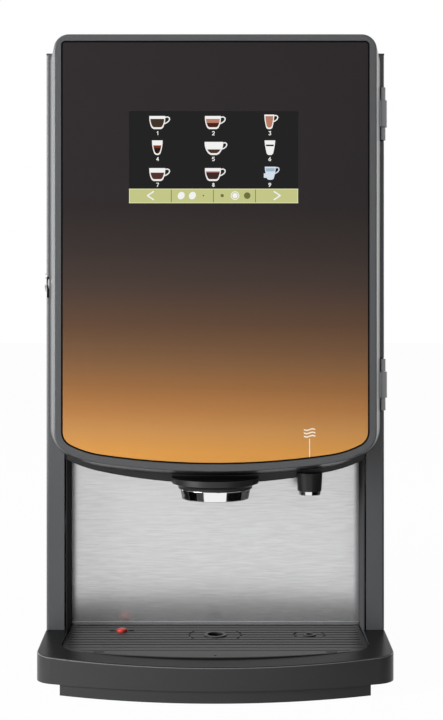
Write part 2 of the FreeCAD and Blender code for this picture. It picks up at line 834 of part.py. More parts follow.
def door_frame():
    sections = [shield_wire(bezel_w, door_front_y, door_top_z, door_top_r),
                shield_wire(bezel_w + door_flank, door_back_y, door_top_z, door_top_r + 3)]
    outer = Part.makeLoft(sections, True, True)
    face_edges = [e for e in outer.Edges if abs(e.CenterOfMass.y - door_front_y) < 0.01]
    outer = outer.makeFillet(door_edge_r, face_edges)
    y_ledge = door_front_y + glass_recess + glass_t
    y_room = y_ledge + ledge_t
    share = (y_room - door_front_y) / (door_back_y - door_front_y)
    grow = bezel_w - door_wall
    inner_top = door_top_z - door_wall
    inner_r = door_top_r - door_wall
    cavity = Part.makeLoft([
        shield_wire(grow + door_flank * share, y_room, inner_top, inner_r),
        shield_wire(grow + door_flank * (1 + 1e-3), door_back_y + 0.05, inner_top, inner_r + 3),
    ], True, True)
    g = glass_gap
    seat = shield_plate(g, door_front_y - 1, y_ledge, glass_top_z + g, glass_top_r + g)
    window = shield_plate(-ledge_w, door_front_y - 1, y_room + 1, glass_top_z - ledge_w, glass_top_r)
    relief = [hinge_space(h, hinge_r + hinge_relief, 1.0) for h in (upper_hinge, lower_hinge)]
    return cut(outer, [cavity, seat, window] + relief + hinge_arm_space())


def door_glass():
    y0 = door_front_y + glass_recess
    pane = shield_plate(0, y0, y0 + glass_t, glass_top_z, glass_top_r)
    rim = [e for e in pane.Edges if abs(e.CenterOfMass.y - y0) < 0.01]
    return pane.makeChamfer(0.5, rim)


def display_module():
    y0 = door_front_y + glass_recess + glass_t
    x0 = display_x - display_w / 2
    z0 = display_z - display_h / 2
    case = box(x0, x0 + display_w, y0, y0 + display_t, z0, z0 + display_h)
    case = case.makeChamfer(1.0, [e for e in case.Edges if e.CenterOfMass.y > y0 + display_t - 0.01])
    y1 = y0 + display_t
    card = box(x0 + 12, x0 + display_w - 12, y1 - 1, y1 + 1.6, z0 + 8, z0 + display_h - 8)
    chips = [box(x0 + 25 + i * 34, x0 + 43 + i * 34, y1 + 1.5, y1 + 4, z0 + 40, z0 + 58) for i in range(4)]
    plug = box(x0 + 60, x0 + 100, y1 + 1.5, y1 + 9, z0 + 14, z0 + 22)
    return fuse([case, card, plug] + chips)


def door_liner():
    y1 = door_back_y
    y0 = y1 - liner_t
    share = (y0 - door_front_y) / (door_back_y - door_front_y)
    grow = bezel_w - door_wall + door_flank * share - liner_gap
    top = door_top_z - door_wall - liner_gap
    plate = shield_plate(grow, y0, y1, top, door_top_r)
    pan_w = glass_half_w - 22.0
    pan_z0 = glass_bottom_z + 45.0
    pan_z1 = display_z - 78.0
    pocket = box(-pan_w, pan_w, y1 - pocket_depth, y1, pan_z0, pan_z1)
    t = liner_t
    room = box(-pan_w + t, pan_w - t, y1 - pocket_depth + t, y1 + 1, pan_z0 + t, pan_z1 - t)
    room = room.makeFillet(pocket_edge_r, [e for e in room.Edges if abs(e.tangentAt(0).y) > 0.9])
    plate = cut(fuse([plate, pocket]), [room])
    bars = [box(x - 1, x + 1, y0 - 9, y0 + 0.5, pan_z1 + 10, top - 16) for x in (-110, -95, 100, 115)]
    bars.append(box(-110, 115, y0 - 9, y0 + 0.5, top - 20, top - 18))
    relief = [hinge_space(h, hinge_r + hinge_relief, 1.0) for h in (upper_hinge, lower_hinge)]
    return cut(fuse([plate] + bars), relief + hinge_arm_space())


def lock_keeper():
    """The catch on the door's liner; its bar reaches in behind the turned cam."""
    x0 = keeper_x - body_half_w
    x1 = x0 + keeper_t
    z0, z1 = keeper_z
    arm = box(x0, x1, door_back_y, keeper_y[1], z0, z1)
    bar = box(x1 - keeper_bar_l, x1, keeper_y[0], keeper_y[1], z0, z1)
    foot = box(x0 - keeper_foot, x1 + keeper_foot, door_back_y, door_back_y + 2, z0, z1)
    return fuse([arm, bar, foot])


def hinge_cuts(z_range):
    """Heights where the middle knuckle starts and ends."""
    z0, z1 = z_range
    end = (z1 - z0) * knuckle_share
    return z0 + end, z1 - end


def hinge_arm_space():
    """Room in the door for the arms of its own hinge knuckles."""
    y1 = door_back_y - liner_t
    rooms = []
    for h in (upper_hinge, lower_hinge):
        a, b = hinge_cuts(h)
        rooms.append(box(hinge_x - hinge_arm_l - fit_gap, hinge_x, y1 - leaf_t - fit_gap, hinge_y, a, b))
    return rooms


def body_hinges():
    leaves = []
    for h in (upper_hinge, lower_hinge):
        a, b = hinge_cuts(h)
        x1 = inner_half_w + 0.2
        leaf = box(x1 - leaf_t, x1, hinge_y, hinge_y + leaf_w, h[0], h[1])
        ends = [rod_z(z0, z1, hinge_x, hinge_y, end_knuckle_r) for z0, z1 in ((h[0], a), (b, h[1]))]
        gap = rod_z(a, b, hinge_x, hinge_y, hinge_r + hinge_gap)
        shape = fuse([leaf] + ends)
        shape = cut(shape, [gap])
        pin = rod_z(a - 1, b + 1, hinge_x, hinge_y, hinge_pin_r)
        holes = [rod_x(x1 - 5, x1 + 1, hinge_y + 16, z, 2.0) for z in (h[0] + 8, h[1] - 8)]
        leaves.append(cut(fuse([shape, pin]), holes))
    return Part.makeCompound(leaves)


def door_hinges():
    leaves = []
    y1 = door_back_y - liner_t
    for h in (upper_hinge, lower_hinge):
        a, b = hinge_cuts(h)
        z0 = a + hinge_gap
        z1 = b - hinge_gap
        knuckle = rod_z(z0, z1, hinge_x, hinge_y, hinge_r)
        arm = box(hinge_x - hinge_arm_l, hinge_x, y1 - leaf_t, y1, z0, z1)
        web = box(hinge_x - hinge_r, hinge_x - 1, y1 - leaf_t, hinge_y, z0, z1)
        shape = fuse([knuckle, arm, web])
        leaves.append(cut(shape, [rod_z(z0 - 1, z1 + 1, hinge_x, hinge_y, hinge_pin_r + hinge_pin_gap)]))
    return Part.makeCompound(leaves)


# Lock


def lock_case():
    x = -body_half_w
    tube = rod_x(x, x + lock_depth, lock_y, lock_z, lock_case_r)
    ring = rod_x(x - lock_proud, x, lock_y, lock_z, lock_ring_r)
    ring = ring.makeFillet(1.2, [e for e in ring.Edges if e.CenterOfMass.x < x - lock_proud + 0.01])
    nut = rod_x(x + sheet_t, x + sheet_t + 3, lock_y, lock_z, lock_case_r + 2.5)
    bore = rod_x(x - 9, x + 40, lock_y, lock_z, lock_barrel_r + lock_barrel_gap)
    return cut(fuse([tube, ring, nut]), [bore])


def lock_barrel():
    x = -body_half_w
    x1 = x + lock_depth + 0.3
    plug = rod_x(x - lock_proud + 0.1, x1 + cam_t, lock_y, lock_z, lock_barrel_r)
    key = box(x - 9, x - lock_proud + 2.6, lock_y - 0.5, lock_y + 0.5, lock_z - 3, lock_z + 3)
    cam = box(x1, x1 + cam_t, lock_y - cam_l, lock_y, lock_z - 3, lock_z + 3)
    end = rod_x(x1, x1 + cam_t, lock_y, lock_z, 5.6)
    return fuse([cut(plug, [key]), cam, end])


# Inner walls


def canister_shelf():
    t = shelf_t
    w = inner_half_w
    plate = box(-w, w, shelf_front_y, shelf_back_y, shelf_z, shelf_z + t)
    lips = [box(-w, w, y, y + t, shelf_z - 10, shelf_z + t / 2) for y in (shelf_front_y, shelf_back_y - t)]
    cheeks = [box(x, x + t, shelf_front_y, shelf_back_y, shelf_z, shelf_z + 14) for x in (-w, w - t)]
    return fuse([plate] + lips + cheeks)


def bulkhead():
    z0 = shelf_z + shelf_t
    z1 = body_top_z - top_flange_h - 0.5
    w = inner_half_w - shelf_t - 0.3
    plate = box(-w, w, bulkhead_y, bulkhead_y + bulkhead_t, z0, z1)
    lip = box(-w, w, bulkhead_y, bulkhead_y + 14, z1 - bulkhead_t, z1)
    holes = [rod_y(bulkhead_y - 1, bulkhead_y + 3, x, auger_z, 7.0) for x in canister_places()]
    return cut(fuse([plate, lip]), holes)


def mixer_wall():
    t = bulkhead_t
    w = inner_half_w
    wall = box(-w, w, mixer_wall_y, mixer_wall_y + t, mixer_floor_z, shelf_z)
    floor = box(-w, w, splash_y, mixer_wall_y + t, mixer_floor_z, mixer_floor_z + t)
    drip_lip = box(-w, w, splash_y, splash_y + t, mixer_floor_z, mixer_floor_z + 4)
    holes = [rod_y(mixer_wall_y - 1, mixer_wall_y + 3, x, whipper_z, 5.0) for x in mixer_x]
    holes += [rod_y(mixer_wall_y - 1, mixer_wall_y + 3, x, nipple_z, hose_r + 1.5) for x in mixer_x]
    holes.append(rod_y(mixer_wall_y - 1, mixer_wall_y + 3, tap_x, tap_hose_z, hose_r + 1.5))
    return cut(fuse([wall, floor, drip_lip]), holes)


# Canisters and their dosing drive


def canister_places():
    return [(i - 1) * canister_pitch for i in range(canister_count)]


def hopper_face(x, inset, top, y):
    w = canister_w / 2 - inset
    r = trough_r - inset
    knee = hopper_knee_z + 0.4 * inset
    edges = [
        line2((x - w, y, top), (x + w, y, top)),
        line2((x + w, y, top), (x + w, y, knee)),
        line2((x + w, y, knee), (x + r, y, auger_z)),
        arc3((x + r, y, auger_z), (x, y, auger_z - r), (x - r, y, auger_z)),
        line2((x - r, y, auger_z), (x - w, y, knee)),
        line2((x - w, y, knee), (x - w, y, top)),
    ]
    return Part.Face(Part.Wire(edges))


def canister(x):
    y0 = canister_front_y
    y1 = canister_back_y
    t = canister_wall
    outer = hopper_face(x, 0, canister_top_z, y0).extrude(Vector(0, y1 - y0, 0))
    rails = [box(x + s * 10 - 2, x + s * 10 + 2, y0 + 2, y1, shelf_z + shelf_t, auger_z) for s in (-1, 1)]
    neck = rod_y(y0 - neck_l, y0 + 1, x, auger_z, trough_r)
    ears = []
    for s in (-1, 1):
        ex = x + s * (canister_w / 2 - 4)
        ears.append(box(ex - 2, ex + 2, lid_axis_y - 3.4, y1, canister_top_z - 1, lid_axis_z))
        ears.append(rod_x(ex - 2, ex + 2, lid_axis_y, lid_axis_z, 3.4))
    body = fuse([outer, neck] + rails + ears)
    inner = hopper_face(x, t, canister_top_z + 1, y0 + t).extrude(Vector(0, y1 - y0 - 2 * t, 0))
    side = canister_w / 2 - t
    bosses = [rod_x(x - side - 0.2, x - side + 6, agitator_y, agitator_z, 5.5),
              rod_x(x + side - 6, x + side + 0.2, agitator_y, agitator_z, 5.5)]
    bore = rod_y(y0 - neck_l - 1, y0 + t + 1, x, auger_z, trough_r - t)
    body = cut(body, [inner, bore])
    body = fuse([body] + bosses)
    tools = [
        rod_y(y1 - t - 1, y1 + 1, x, auger_z, auger_core_r + shaft_gap),
        rod_x(x - side, x + side, agitator_y, agitator_z, agitator_axle_r + shaft_gap),
    ]
    for s in (-1, 1):
        ex = x + s * (canister_w / 2 - 4)
        tools.append(rod_x(ex - 3, ex + 3, lid_axis_y, lid_axis_z, lid_pin_r + shaft_gap))
    return cut(body, tools)


def canister_lid(x):
    z0 = canister_top_z + 0.3
    z1 = z0 + lid_t
    w = canister_w / 2 - 0.3
    y_back = lid_axis_y - 4.4
    plate = box(x - w, x + w, canister_front_y, y_back, z0, z1)
    front = [e for e in plate.Edges if e.CenterOfMass.y < canister_front_y + 1]
    plate = plate.makeFillet(4.0, [e for e in front if abs(e.tangentAt(0).z) > 0.9])
    inset = canister_wall + lid_gap
    wi = canister_w / 2 - inset
    y0 = canister_front_y + inset
    t = 1.6
    plug = box(x - wi, x + wi, y0, y_back - 2, z0 - lid_skirt, z0 + 0.5)
    hollow = box(x - wi + t, x + wi - t, y0 + t, y_back - 2 - t, z0 - lid_skirt - 1, z0)
    barrel_w = canister_w / 2 - 6 - 0.4
    barrel = rod_x(x - barrel_w, x + barrel_w, lid_axis_y, lid_axis_z, 3.2)
    arm = box(x - barrel_w, x + barrel_w, y_back - 1, lid_axis_y, z1 - 1.6, lid_axis_z)
    pins = rod_x(x - canister_w / 2 + 2.5, x + canister_w / 2 - 2.5, lid_axis_y, lid_axis_z, lid_pin_r)
    grip = box(x - 12, x + 12, canister_front_y + 6, canister_front_y + 9, z1 - 0.2, z1 + 3.5)
    return cut(fuse([plate, plug, barrel, arm, pins, grip]), [hollow])


def auger(x):
    """A screw with a right-hand flight round a core, along Y."""
    y0 = canister_front_y - neck_l
    turns = int((canister_back_y - canister_wall - 2.0 - y0) / auger_pitch)
    height = turns * auger_pitch
    helix = Part.makeHelix(auger_pitch, height, auger_core_r)
    t = auger_blade_t / 2
    a = auger_core_r - 0.8
    profile = Part.makePolygon([Vector(a, 0, -t), Vector(auger_r, 0, -t * 0.6), Vector(auger_r, 0, t * 0.6),
                                Vector(a, 0, t), Vector(a, 0, -t)])
    flight = Part.Wire(helix).makePipeShell([profile], True, True)
    flight.rotate(Vector(0, 0, 0), Vector(1, 0, 0), -90)
    flight.translate(Vector(0, y0, 0))
    flight.rotate(Vector(0, 0, 0), Vector(0, 1, 0), -90)
    core = rod_y(y0 - 2, bulkhead_y + 7, 0, 0, auger_core_r)
    screw = core.fuse(flight)
    screw.translate(Vector(x, 0, auger_z))
    return screw


def agitator(x):
    tip = agitator_pitch_r + agitator_mesh / 2
    half = agitator_t / 2
    hub = rod_x(x - half - 2, x + half + 2, agitator_y, agitator_z, 6.0)
    axle_half = canister_w / 2 - canister_wall - 0.6
    axle = rod_x(x - axle_half, x + axle_half, agitator_y, agitator_z, agitator_axle_r)
    ring = rod_x(x - 1.5, x + 1.5, agitator_y, agitator_z, tip * 0.68)
    ring = cut(ring, [rod_x(x - 2, x + 2, agitator_y, agitator_z, tip * 0.58)])
    paddles = []
    for i in range(agitator_teeth):
        paddle = box(x - half, x + half, agitator_y - 1.8, agitator_y + 1.8, agitator_z - tip, agitator_z - 4)
        paddle.rotate(Vector(x, agitator_y, agitator_z), Vector(1, 0, 0), 360.0 * i / agitator_teeth)
        paddles.append(paddle)
    return fuse([hub, axle, ring] + paddles)


def outlet_elbow(x, tilt):
    """The swivelling cap of a canister's neck, with its chute turned by a tilt from straight down."""
    y1 = canister_front_y - 0.5
    y0 = y1 - elbow_l
    t = elbow_wall
    r = trough_r + shaft_gap + t
    cap = rod_y(y0, y1, x, auger_z, r)
    w = chute_half_w
    chute = box(x - w, x + w, y0, chute_back_y, auger_z - elbow_drop, auger_z)
    body = fuse([cap, chute])
    inner = rod_y(y0 + t, y1 + 1, x, auger_z, trough_r + shaft_gap)
    drop = box(x - w + t, x + w - t, y0 + t, chute_back_y - t, auger_z - elbow_drop - 1, auger_z)
    body = cut(body, [inner, drop])
    body.rotate(Vector(x, 0, auger_z), Vector(0, 1, 0), tilt)
    return body


def auger_motors():
    motors = []
    for x in canister_places():
        y0 = bulkhead_y + bulkhead_t
        w = auger_motor_w / 2
        h = auger_motor_h / 2
        gears = box(x - w, x + w, y0, y0 + 26, auger_z - h, auger_z + h)
        gears = gears.makeFillet(4.0, [e for e in gears.Edges if abs(e.tangentAt(0).y) > 0.9])
        can = rod_y(y0 + 25, y0 + auger_motor_l, x, auger_z, h - 3)
        end = rod_y(y0 + auger_motor_l - 1, y0 + auger_motor_l + 3, x, auger_z, 5.0)
        socket = rod_y(y0 - 1, y0 + 8, x, auger_z, auger_core_r + shaft_gap)
        motors.append(cut(fuse([gears, can, end]), [socket]))
    return Part.makeCompound(motors)


# Mixers


def stadium(x, y, z, half, r):
    """A round-ended outline: a circle of radius r stretched by half to both sides along X."""
    h = max(half, 0.05)
    return Part.Wire([
        line2((x - h, y - r, z), (x + h, y - r, z)),
        arc3((x + h, y - r, z), (x + h + r, y, z), (x + h, y + r, z)),
        line2((x + h, y + r, z), (x - h, y + r, z)),
        arc3((x - h, y + r, z), (x - h - r, y, z), (x - h, y - r, z)),
    ])


def funnel_solid(x, half, inset, grow_z):
    """A mixing bowl's outline, drawn in by inset, with a straight rim that may be grown upwards."""
    rim_z = bowl_top_z - bowl_rim_h
    rim = stadium(x, bowl_y, rim_z, half, bowl_r - inset)
    cone = Part.makeLoft([stadium(x, bowl_y, bowl_top_z - bowl_h, 0.0, bowl_neck_r - inset), rim], True, True)
    return cone.fuse(Part.Face(rim).extrude(Vector(0, 0, bowl_rim_h + grow_z)))


def mixing_bowls():
    bowls = []
    for x, half in zip(mixer_x, bowl_halves):
        t = bowl_wall
        z0 = bowl_top_z - bowl_h
        outer = funnel_solid(x, half, 0, 0)
        neck = rod_z(z0 - 7, z0 + 0.5, x, bowl_y, bowl_neck_r)
        nipple = rod_y(bowl_y + 18, nipple_end_y, x, nipple_z, hose_r)
        inner = funnel_solid(x, half, t, 1)
        bore = rod_z(z0 - 8, z0 + 1, x, bowl_y, bowl_neck_r - t)
        jet = rod_y(bowl_y + 10, nipple_end_y + 1, x, nipple_z, hose_bore_r)
        bowls.append(cut(outer.fuse([neck, nipple]), [inner, bore, jet]))
    return Part.makeCompound(bowls)


def whipper_housings():
    housings = []
    for x, (start, way, length) in zip(mixer_x, mixer_outlets):
        t = whipper_wall
        drum = rod_y(whipper_front_y, mixer_wall_y, x, whipper_z, whipper_r)
        z0 = bowl_top_z - bowl_h - 7
        port = rod_z(whipper_z, z0 + 5, x, bowl_y, bowl_neck_r + t + 0.1)
        nozzle = Part.makeCylinder(hose_r, length, Vector(*start), Vector(*way))
        nozzle_bore = Part.makeCylinder(hose_bore_r, length + 2, Vector(*start), Vector(*way))
        chamber = rod_y(whipper_front_y + t, whipper_back_y - t, x, whipper_z, whipper_r - t)
        base = rod_y(whipper_back_y, mixer_wall_y + 1, x, whipper_z, whipper_r - t)
        seal = rod_y(whipper_front_y + t, mixer_wall_y, x, whipper_z, shaft_r + shaft_gap)
        top_bore = rod_z(whipper_z, z0 + 6, x, bowl_y, bowl_neck_r + 0.1)
        body = fuse([drum, port, nozzle])
        housings.append(cut(body, [chamber, base, seal, top_bore, nozzle_bore]))
    return Part.makeCompound(housings)


def impeller(x):
    y0 = whipper_front_y + whipper_wall + 1.5
    shaft = rod_y(y0, mixer_wall_y + bulkhead_t + 9, x, whipper_z, shaft_r)
    disc = rod_y(y0 + 8, y0 + 11, x, whipper_z, impeller_r)
    blades = []
    for i in range(6):
        blade = box(x - 1, x + 1, y0, y0 + 9, whipper_z + shaft_r - 1, whipper_z + impeller_r - 2)
        blade.rotate(Vector(x, 0, whipper_z), Vector(0, 1, 0), 60.0 * i)
        blades.append(blade)
    return fuse([shaft, disc] + blades)


def whipper_motors():
    motors = []
    for x in mixer_x:
        y0 = mixer_wall_y + bulkhead_t
        can = rod_y(y0, y0 + whipper_motor_l, x, whipper_z, whipper_motor_r)
        can = can.makeFillet(2.5, [e for e in can.Edges if e.CenterOfMass.y > y0 + 10 and e.Length > 50])
        cap = rod_y(y0 + whipper_motor_l - 1, y0 + whipper_motor_l + 4, x, whipper_z, 6.0)
        socket = rod_y(y0 - 1, y0 + 10, x, whipper_z, shaft_r + shaft_gap)
        motors.append(cut(fuse([can, cap]), [socket]))
    return Part.makeCompound(motors)


# Hoses


def tube_along(points, r):
    """A round tube along straight runs that tangent arcs join; each arc is as large as its runs allow."""
    pts = [Vector(*p) for p in points]
    edges = []
    last = pts[0]
    radii = []
    for i in range(1, len(pts) - 1):
        a = (pts[i] - pts[i - 1])
        b = (pts[i + 1] - pts[i])
        turn = a.getAngle(b)
        reach = 0.45 * min(a.Length, b.Length)
        ua = Vector(a).normalize()
        ub = Vector(b).normalize()
        start = pts[i] - ua * reach
        end = pts[i] + ub * reach
        radius = reach / math.tan(turn / 2)
        radii.append(round(radius, 1))
        inward = (ub - ua).normalize()
        mid = pts[i] + inward * (radius / math.cos(turn / 2) - radius)
        edges.append(Part.LineSegment(last, start).toShape())
        edges.append(Part.Arc(start, mid, end).toShape())
        last = end
    edges.append(Part.LineSegment(last, pts[-1]).toShape())
    path = Part.Wire(edges)
    first = (pts[1] - pts[0]).normalize()
    ring = Part.Wire([Part.Circle(pts[0], first, r).toShape()])
    tube = path.makePipeShell([ring], True, False)
    want = math.pi * r * r * path.Length
    print("tube: radii", radii, "volume share", round(tube.Volume / want, 4))
    return tube


def beyond_nozzle(outlet, extra):
    """The point on a mixer outlet's axis that lies this far beyond the nozzle's end."""
    start, way, length = outlet
    p = Vector(*start) + Vector(*way).normalize() * (length + extra)
    return (p.x, p.y, p.z)


def hose_routes():
    left, right = mixer_outlets
    bowl_left, bowl_right = mixer_x
    drop = valve_z0 - 8.0
    x1, x2, x3 = valve_x
    routes = [
        [beyond_nozzle(left, 0.0), beyond_nozzle(left, 12.0), (outlet_x[0] - 9, -97.0, 205.0),
         (outlet_x[0], outlet_y, 196.0), (outlet_x[0], outlet_y, outlet_end_z)],
        [beyond_nozzle(right, 0.0), beyond_nozzle(right, 9.0), (outlet_x[1], outlet_y, 192.0),
         (outlet_x[1], outlet_y, outlet_end_z)],
    ]
    for valve, bowl, level, bend in ((x1, bowl_left, nipple_z, 60), (x2, bowl_right, nipple_z + 4, 50)):
        routes.append([(valve, valve_y, drop), (valve, valve_y, level),
                       (bowl, nipple_end_y + bend, nipple_z), (bowl, nipple_end_y, nipple_z)])
    routes.append([(x3, valve_y, drop), (x3, valve_y, tap_hose_z), (tap_x, mixer_wall_y + 40, tap_hose_z + 1),
                   (tap_x, mixer_wall_y - 28, tap_hose_z), (tap_x, tap_nipple_y, 238.0),
                   (tap_x, tap_nipple_y, tap_nipple_top_z)])
    return routes


def silicone_hoses():
    return Part.makeCompound([tube_along(route, hose_r) for route in hose_routes()])


# Boiler and its valves


def boiler_tank():
    z0 = boiler_bottom_z
    z1 = boiler_top_z
    shell = rod_z(z0, z1, boiler_x, boiler_y, boiler_r)
    shell = shell.makeFillet(6.0, [e for e in shell.Edges if e.CenterOfMass.z < z0 + 0.1 and e.Length > 100])
    flange = rod_z(z1 - 2, z1, boiler_x, boiler_y, boiler_r + 4)
    y0 = bulkhead_y + bulkhead_t
    plate = box(boiler_x - 34, boiler_x + 34, y0, y0 + 2, z0 + 25, z1 - 20)
    tabs = [box(boiler_x - 20, boiler_x + 20, y0, boiler_y - 40, z, z + 2) for z in (z0 + 25, z1 - 22)]
    hollow = rod_z(z0 + 1.2, z1 + 1, boiler_x, boiler_y, boiler_r - boiler_wall)
    hollow = hollow.makeFillet(5.0, [e for e in hollow.Edges if e.CenterOfMass.z < z0 + 2 and e.Length > 100])
    ports = [rod_z(z0 - 1, z0 + 3, x, valve_y, 4.0) for x in valve_x]
    ports += [rod_z(z0 - 1, z0 + 3, boiler_x + s * heater_r, heater_y, 4.6) for s in (-1, 1)]
    return cut(fuse([shell, flange, plate] + tabs), [hollow] + ports)


def boiler_lid():
    z = boiler_top_z
    disc = rod_z(z, z + 3, boiler_x, boiler_y, boiler_r + 3)
    post = rod_z(z + 2, z + 19, lid_inlet[0], lid_inlet[1], 7.0)
    nipple = rod_x(lid_inlet[0] - 14, lid_inlet[0], lid_inlet[1], z + 12, hose_r)
    probes = []
    for dx, length in ((-8, 40), (6, 55), (20, 130)):
        px = boiler_x + dx + 6
        probes.append(rod_z(z + 2, z + 9, px, boiler_y - 20, 4.0))
        probes.append(rod_z(z - length, z + 12, px, boiler_y - 20, 1.5))
    return fuse([disc, post, nipple] + probes)


def heating_element():
    z0 = boiler_bottom_z
    z1 = z0 + 24.0
    w = heater_half_w
    x0 = boiler_x - heater_r
    x1 = boiler_x + heater_r
    loop = tube_along([
        (x0, heater_y, z0 - 14), (x0, heater_y, z1), (boiler_x - w, heater_y + w - heater_r, z1),
        (boiler_x, heater_y + 2 * w - heater_r, z1 + 2), (boiler_x + w, heater_y + w - heater_r, z1),
        (x1, heater_y, z1), (x1, heater_y, z0 - 14),
    ], heater_rod_r)
    plate = rod_z(z0 - 4, z0, boiler_x, heater_y + 2, 20.0)
    return fuse([plate, loop])


def outlet_valves():
    valves = []
    for x in valve_x:
        z0 = valve_z0
        body = box(x - 11, x + 11, valve_y - 10, valve_y + 10, z0, boiler_bottom_z - 6)
        stub = rod_z(boiler_bottom_z - 7, boiler_bottom_z, x, valve_y, 7.0)
        coil = rod_y(valve_y - 34, valve_y - 9, x, z0 + 10, 9.5)
        spout = rod_z(z0 - 8, z0 + 1, x, valve_y, hose_r)
        valves.append(fuse([body, stub, coil, spout]))
    return Part.makeCompound(valves)


# Connections, fan and electronics at the back


def inlet_valve():
    x = inlet_x
    z = inlet_z
    y0 = back_panel_y - 18
    plate = box(x - 27, x + 27, y0, y0 + 2, z - 22, z + 26)
    legs = [box(x + s * 26 - 1, x + s * 26 + 1, y0, back_panel_y, z - 22, z + 26) for s in (-1, 1)]
    thread = rod_y(y0 + 1, back_panel_y + 1, x, z, inlet_thread_r)
    end = [e for e in thread.Edges if e.CenterOfMass.y > back_panel_y and e.Length > 40]
    thread = thread.makeChamfer(1.0, end)
    neck = rod_y(y0 - 24, y0, x, z, 11.0)
    body = box(x - 15, x + 15, y0 - 34, y0 - 10, z - 13, z + 14)
    coil = rod_z(z + 13, z + 38, x + 16, y0 - 22, 12.0)
    block = box(x + 4, x + 28, y0 - 34, y0 - 10, z + 2, z + 14)
    outlet = rod_z(z + 13, inlet_hose_z, x - 8, y0 - 22, hose_r)
    body = fuse([plate, thread, neck, body, coil, block, outlet] + legs)
    return cut(body, [rod_y(y0 - 6, back_panel_y + 2, x, z, inlet_thread_r - 3.4)])


def inlet_hose():
    y = back_panel_y - 40
    z1 = boiler_top_z + 12
    x = inlet_x - 8
    end = lid_inlet[0] - 14
    side = -inlet_hose_x
    route = [(x, y, inlet_hose_z), (x, y, 140.0), (side, y + 8, 206.0), (side, y + 9, z1 - 26)]
    route += [(side + 7, y + 1, z1 - 3), (end - 8, lid_inlet[1], z1), (end, lid_inlet[1], z1)]
    return tube_along(route, hose_r)


def fan_housing():
    y1 = back_panel_y
    y0 = y1 - fan_t
    w = fan_r + 3
    frame = box(fan_x - w, fan_x + w, y0, y1, fan_z - w, fan_z + w)
    frame = frame.makeFillet(5.0, [e for e in frame.Edges if abs(e.tangentAt(0).y) > 0.9])
    frame = cut(frame, [rod_y(y0 - 1, y1 + 1, fan_x, fan_z, fan_r)])
    hub = rod_y(y1 - 5, y1, fan_x, fan_z, 14.0)
    arms = []
    for i in range(4):
        arm = box(fan_x - 2, fan_x + 2, y1 - 4, y1, fan_z, fan_z + fan_r + 1)
        arm.rotate(Vector(fan_x, 0, fan_z), Vector(0, 1, 0), 45.0 + 90.0 * i)
        arms.append(arm)
    pin = rod_y(y0 + 2, y1 - 1, fan_x, fan_z, 2.0)
    return fuse([frame, hub, pin] + arms)


def fan_rotor():
    y1 = back_panel_y - 5.5
    y0 = back_panel_y - fan_t + 1.5
    hub = rod_y(y0, y1, fan_x, fan_z, 14.5)
    blades = []
    for i in range(fan_blades):
        blade = box(fan_x - 1, fan_x + 1, y0 + 2, y1 - 1, fan_z + 13, fan_z + fan_r - 1.2)
        blade.rotate(Vector(fan_x, (y0 + y1) / 2, fan_z), Vector(0, 0, 1), 38.0)
        blade.rotate(Vector(fan_x, 0, fan_z), Vector(0, 1, 0), 360.0 * i / fan_blades)
        blades.append(blade)
    return cut(fuse([hub] + blades), [rod_y(y0 - 1, y1 + 1, fan_x, fan_z, 2.0 + shaft_gap)])


def control_board():
    y0 = bulkhead_y + bulkhead_t
    x0, x1 = board_x
    z0, z1 = board_z
    face = y0 + board_stand + board_t
    card = box(x0, x1, y0 + board_stand, face, z0, z1)
    feet = [rod_y(y0, y0 + board_stand, x, z, 3.0) for x in (x0 + 6, x1 - 6) for z in (z0 + 6, z1 - 6)]
    y = face - 0.1
    relays = [box(x0 + 12 + i * 22, x0 + 28 + i * 22, y, y0 + 22, z0 + 12, z0 + 32) for i in range(4)]
    sockets = [box(x0 + 14 + i * 27, x0 + 34 + i * 27, y, y0 + 16, z1 - 22, z1 - 13) for i in range(4)]
    sink = box(x0 + 84, x0 + 112, y, y0 + 26, z1 - 88, z1 - 56)
    chip = box(x0 + 30, x0 + 52, y, y0 + 9.5, z1 - 82, z1 - 60)
    caps = [rod_y(y, y0 + 24, x0 + 70, z1 - 86 + i * 16, 5.5) for i in range(3)]
    return fuse([card, sink, chip] + feet + relays + sockets + caps)


def power_supply():
    y1 = back_panel_y
    y0 = y1 - supply_depth
    x0, x1 = supply_x
    z0 = supply_z
    z1 = z0 + supply_h
    t = supply_lid_t
    case = box(x0, x1, y0, y1, z0, z1)
    lid = box(x0 - t, x1 + t, y0 - t, y1 - 8, z0 - t, z1 + t)
    vents = [box(x0 + 12 + i * 9, x0 + 16 + i * 9, y0 - t - 1.5, y0 + 1, z0 + 8, z1 - 8) for i in range(10)]
    return cut(fuse([case, lid]), vents)


def mains_inlet():
    y1 = back_panel_y + sheet_t
    flange = box(mains_x - 25, mains_x + 25, y1, y1 + 1.9, mains_z - 13.5, mains_z + 13.5)
    body = box(mains_x - 13.8, mains_x + 13.8, y1 - 24, y1 + 1, mains_z - 10.2, mains_z + 10.2)
    cavity = box(mains_x - 11.8, mains_x + 11.8, y1 - 14.5, y1 + 3, mains_z - 8.2, mains_z + 8.2)
    pins = [box(mains_x + dx - 1, mains_x + dx + 1, y1 - 15, y1 - 1.5, mains_z + dz - 2.5, mains_z + dz + 2.5)
            for dx, dz in ((-7, -2.5), (7, -2.5), (0, 2.5))]
    tags = [box(mains_x + dx - 2, mains_x + dx + 2, y1 - 32, y1 - 23.5, mains_z - 0.5, mains_z + 0.5)
            for dx in (-8, 0, 8)]
    return fuse([cut(fuse([flange, body]), [cavity])] + pins + tags)


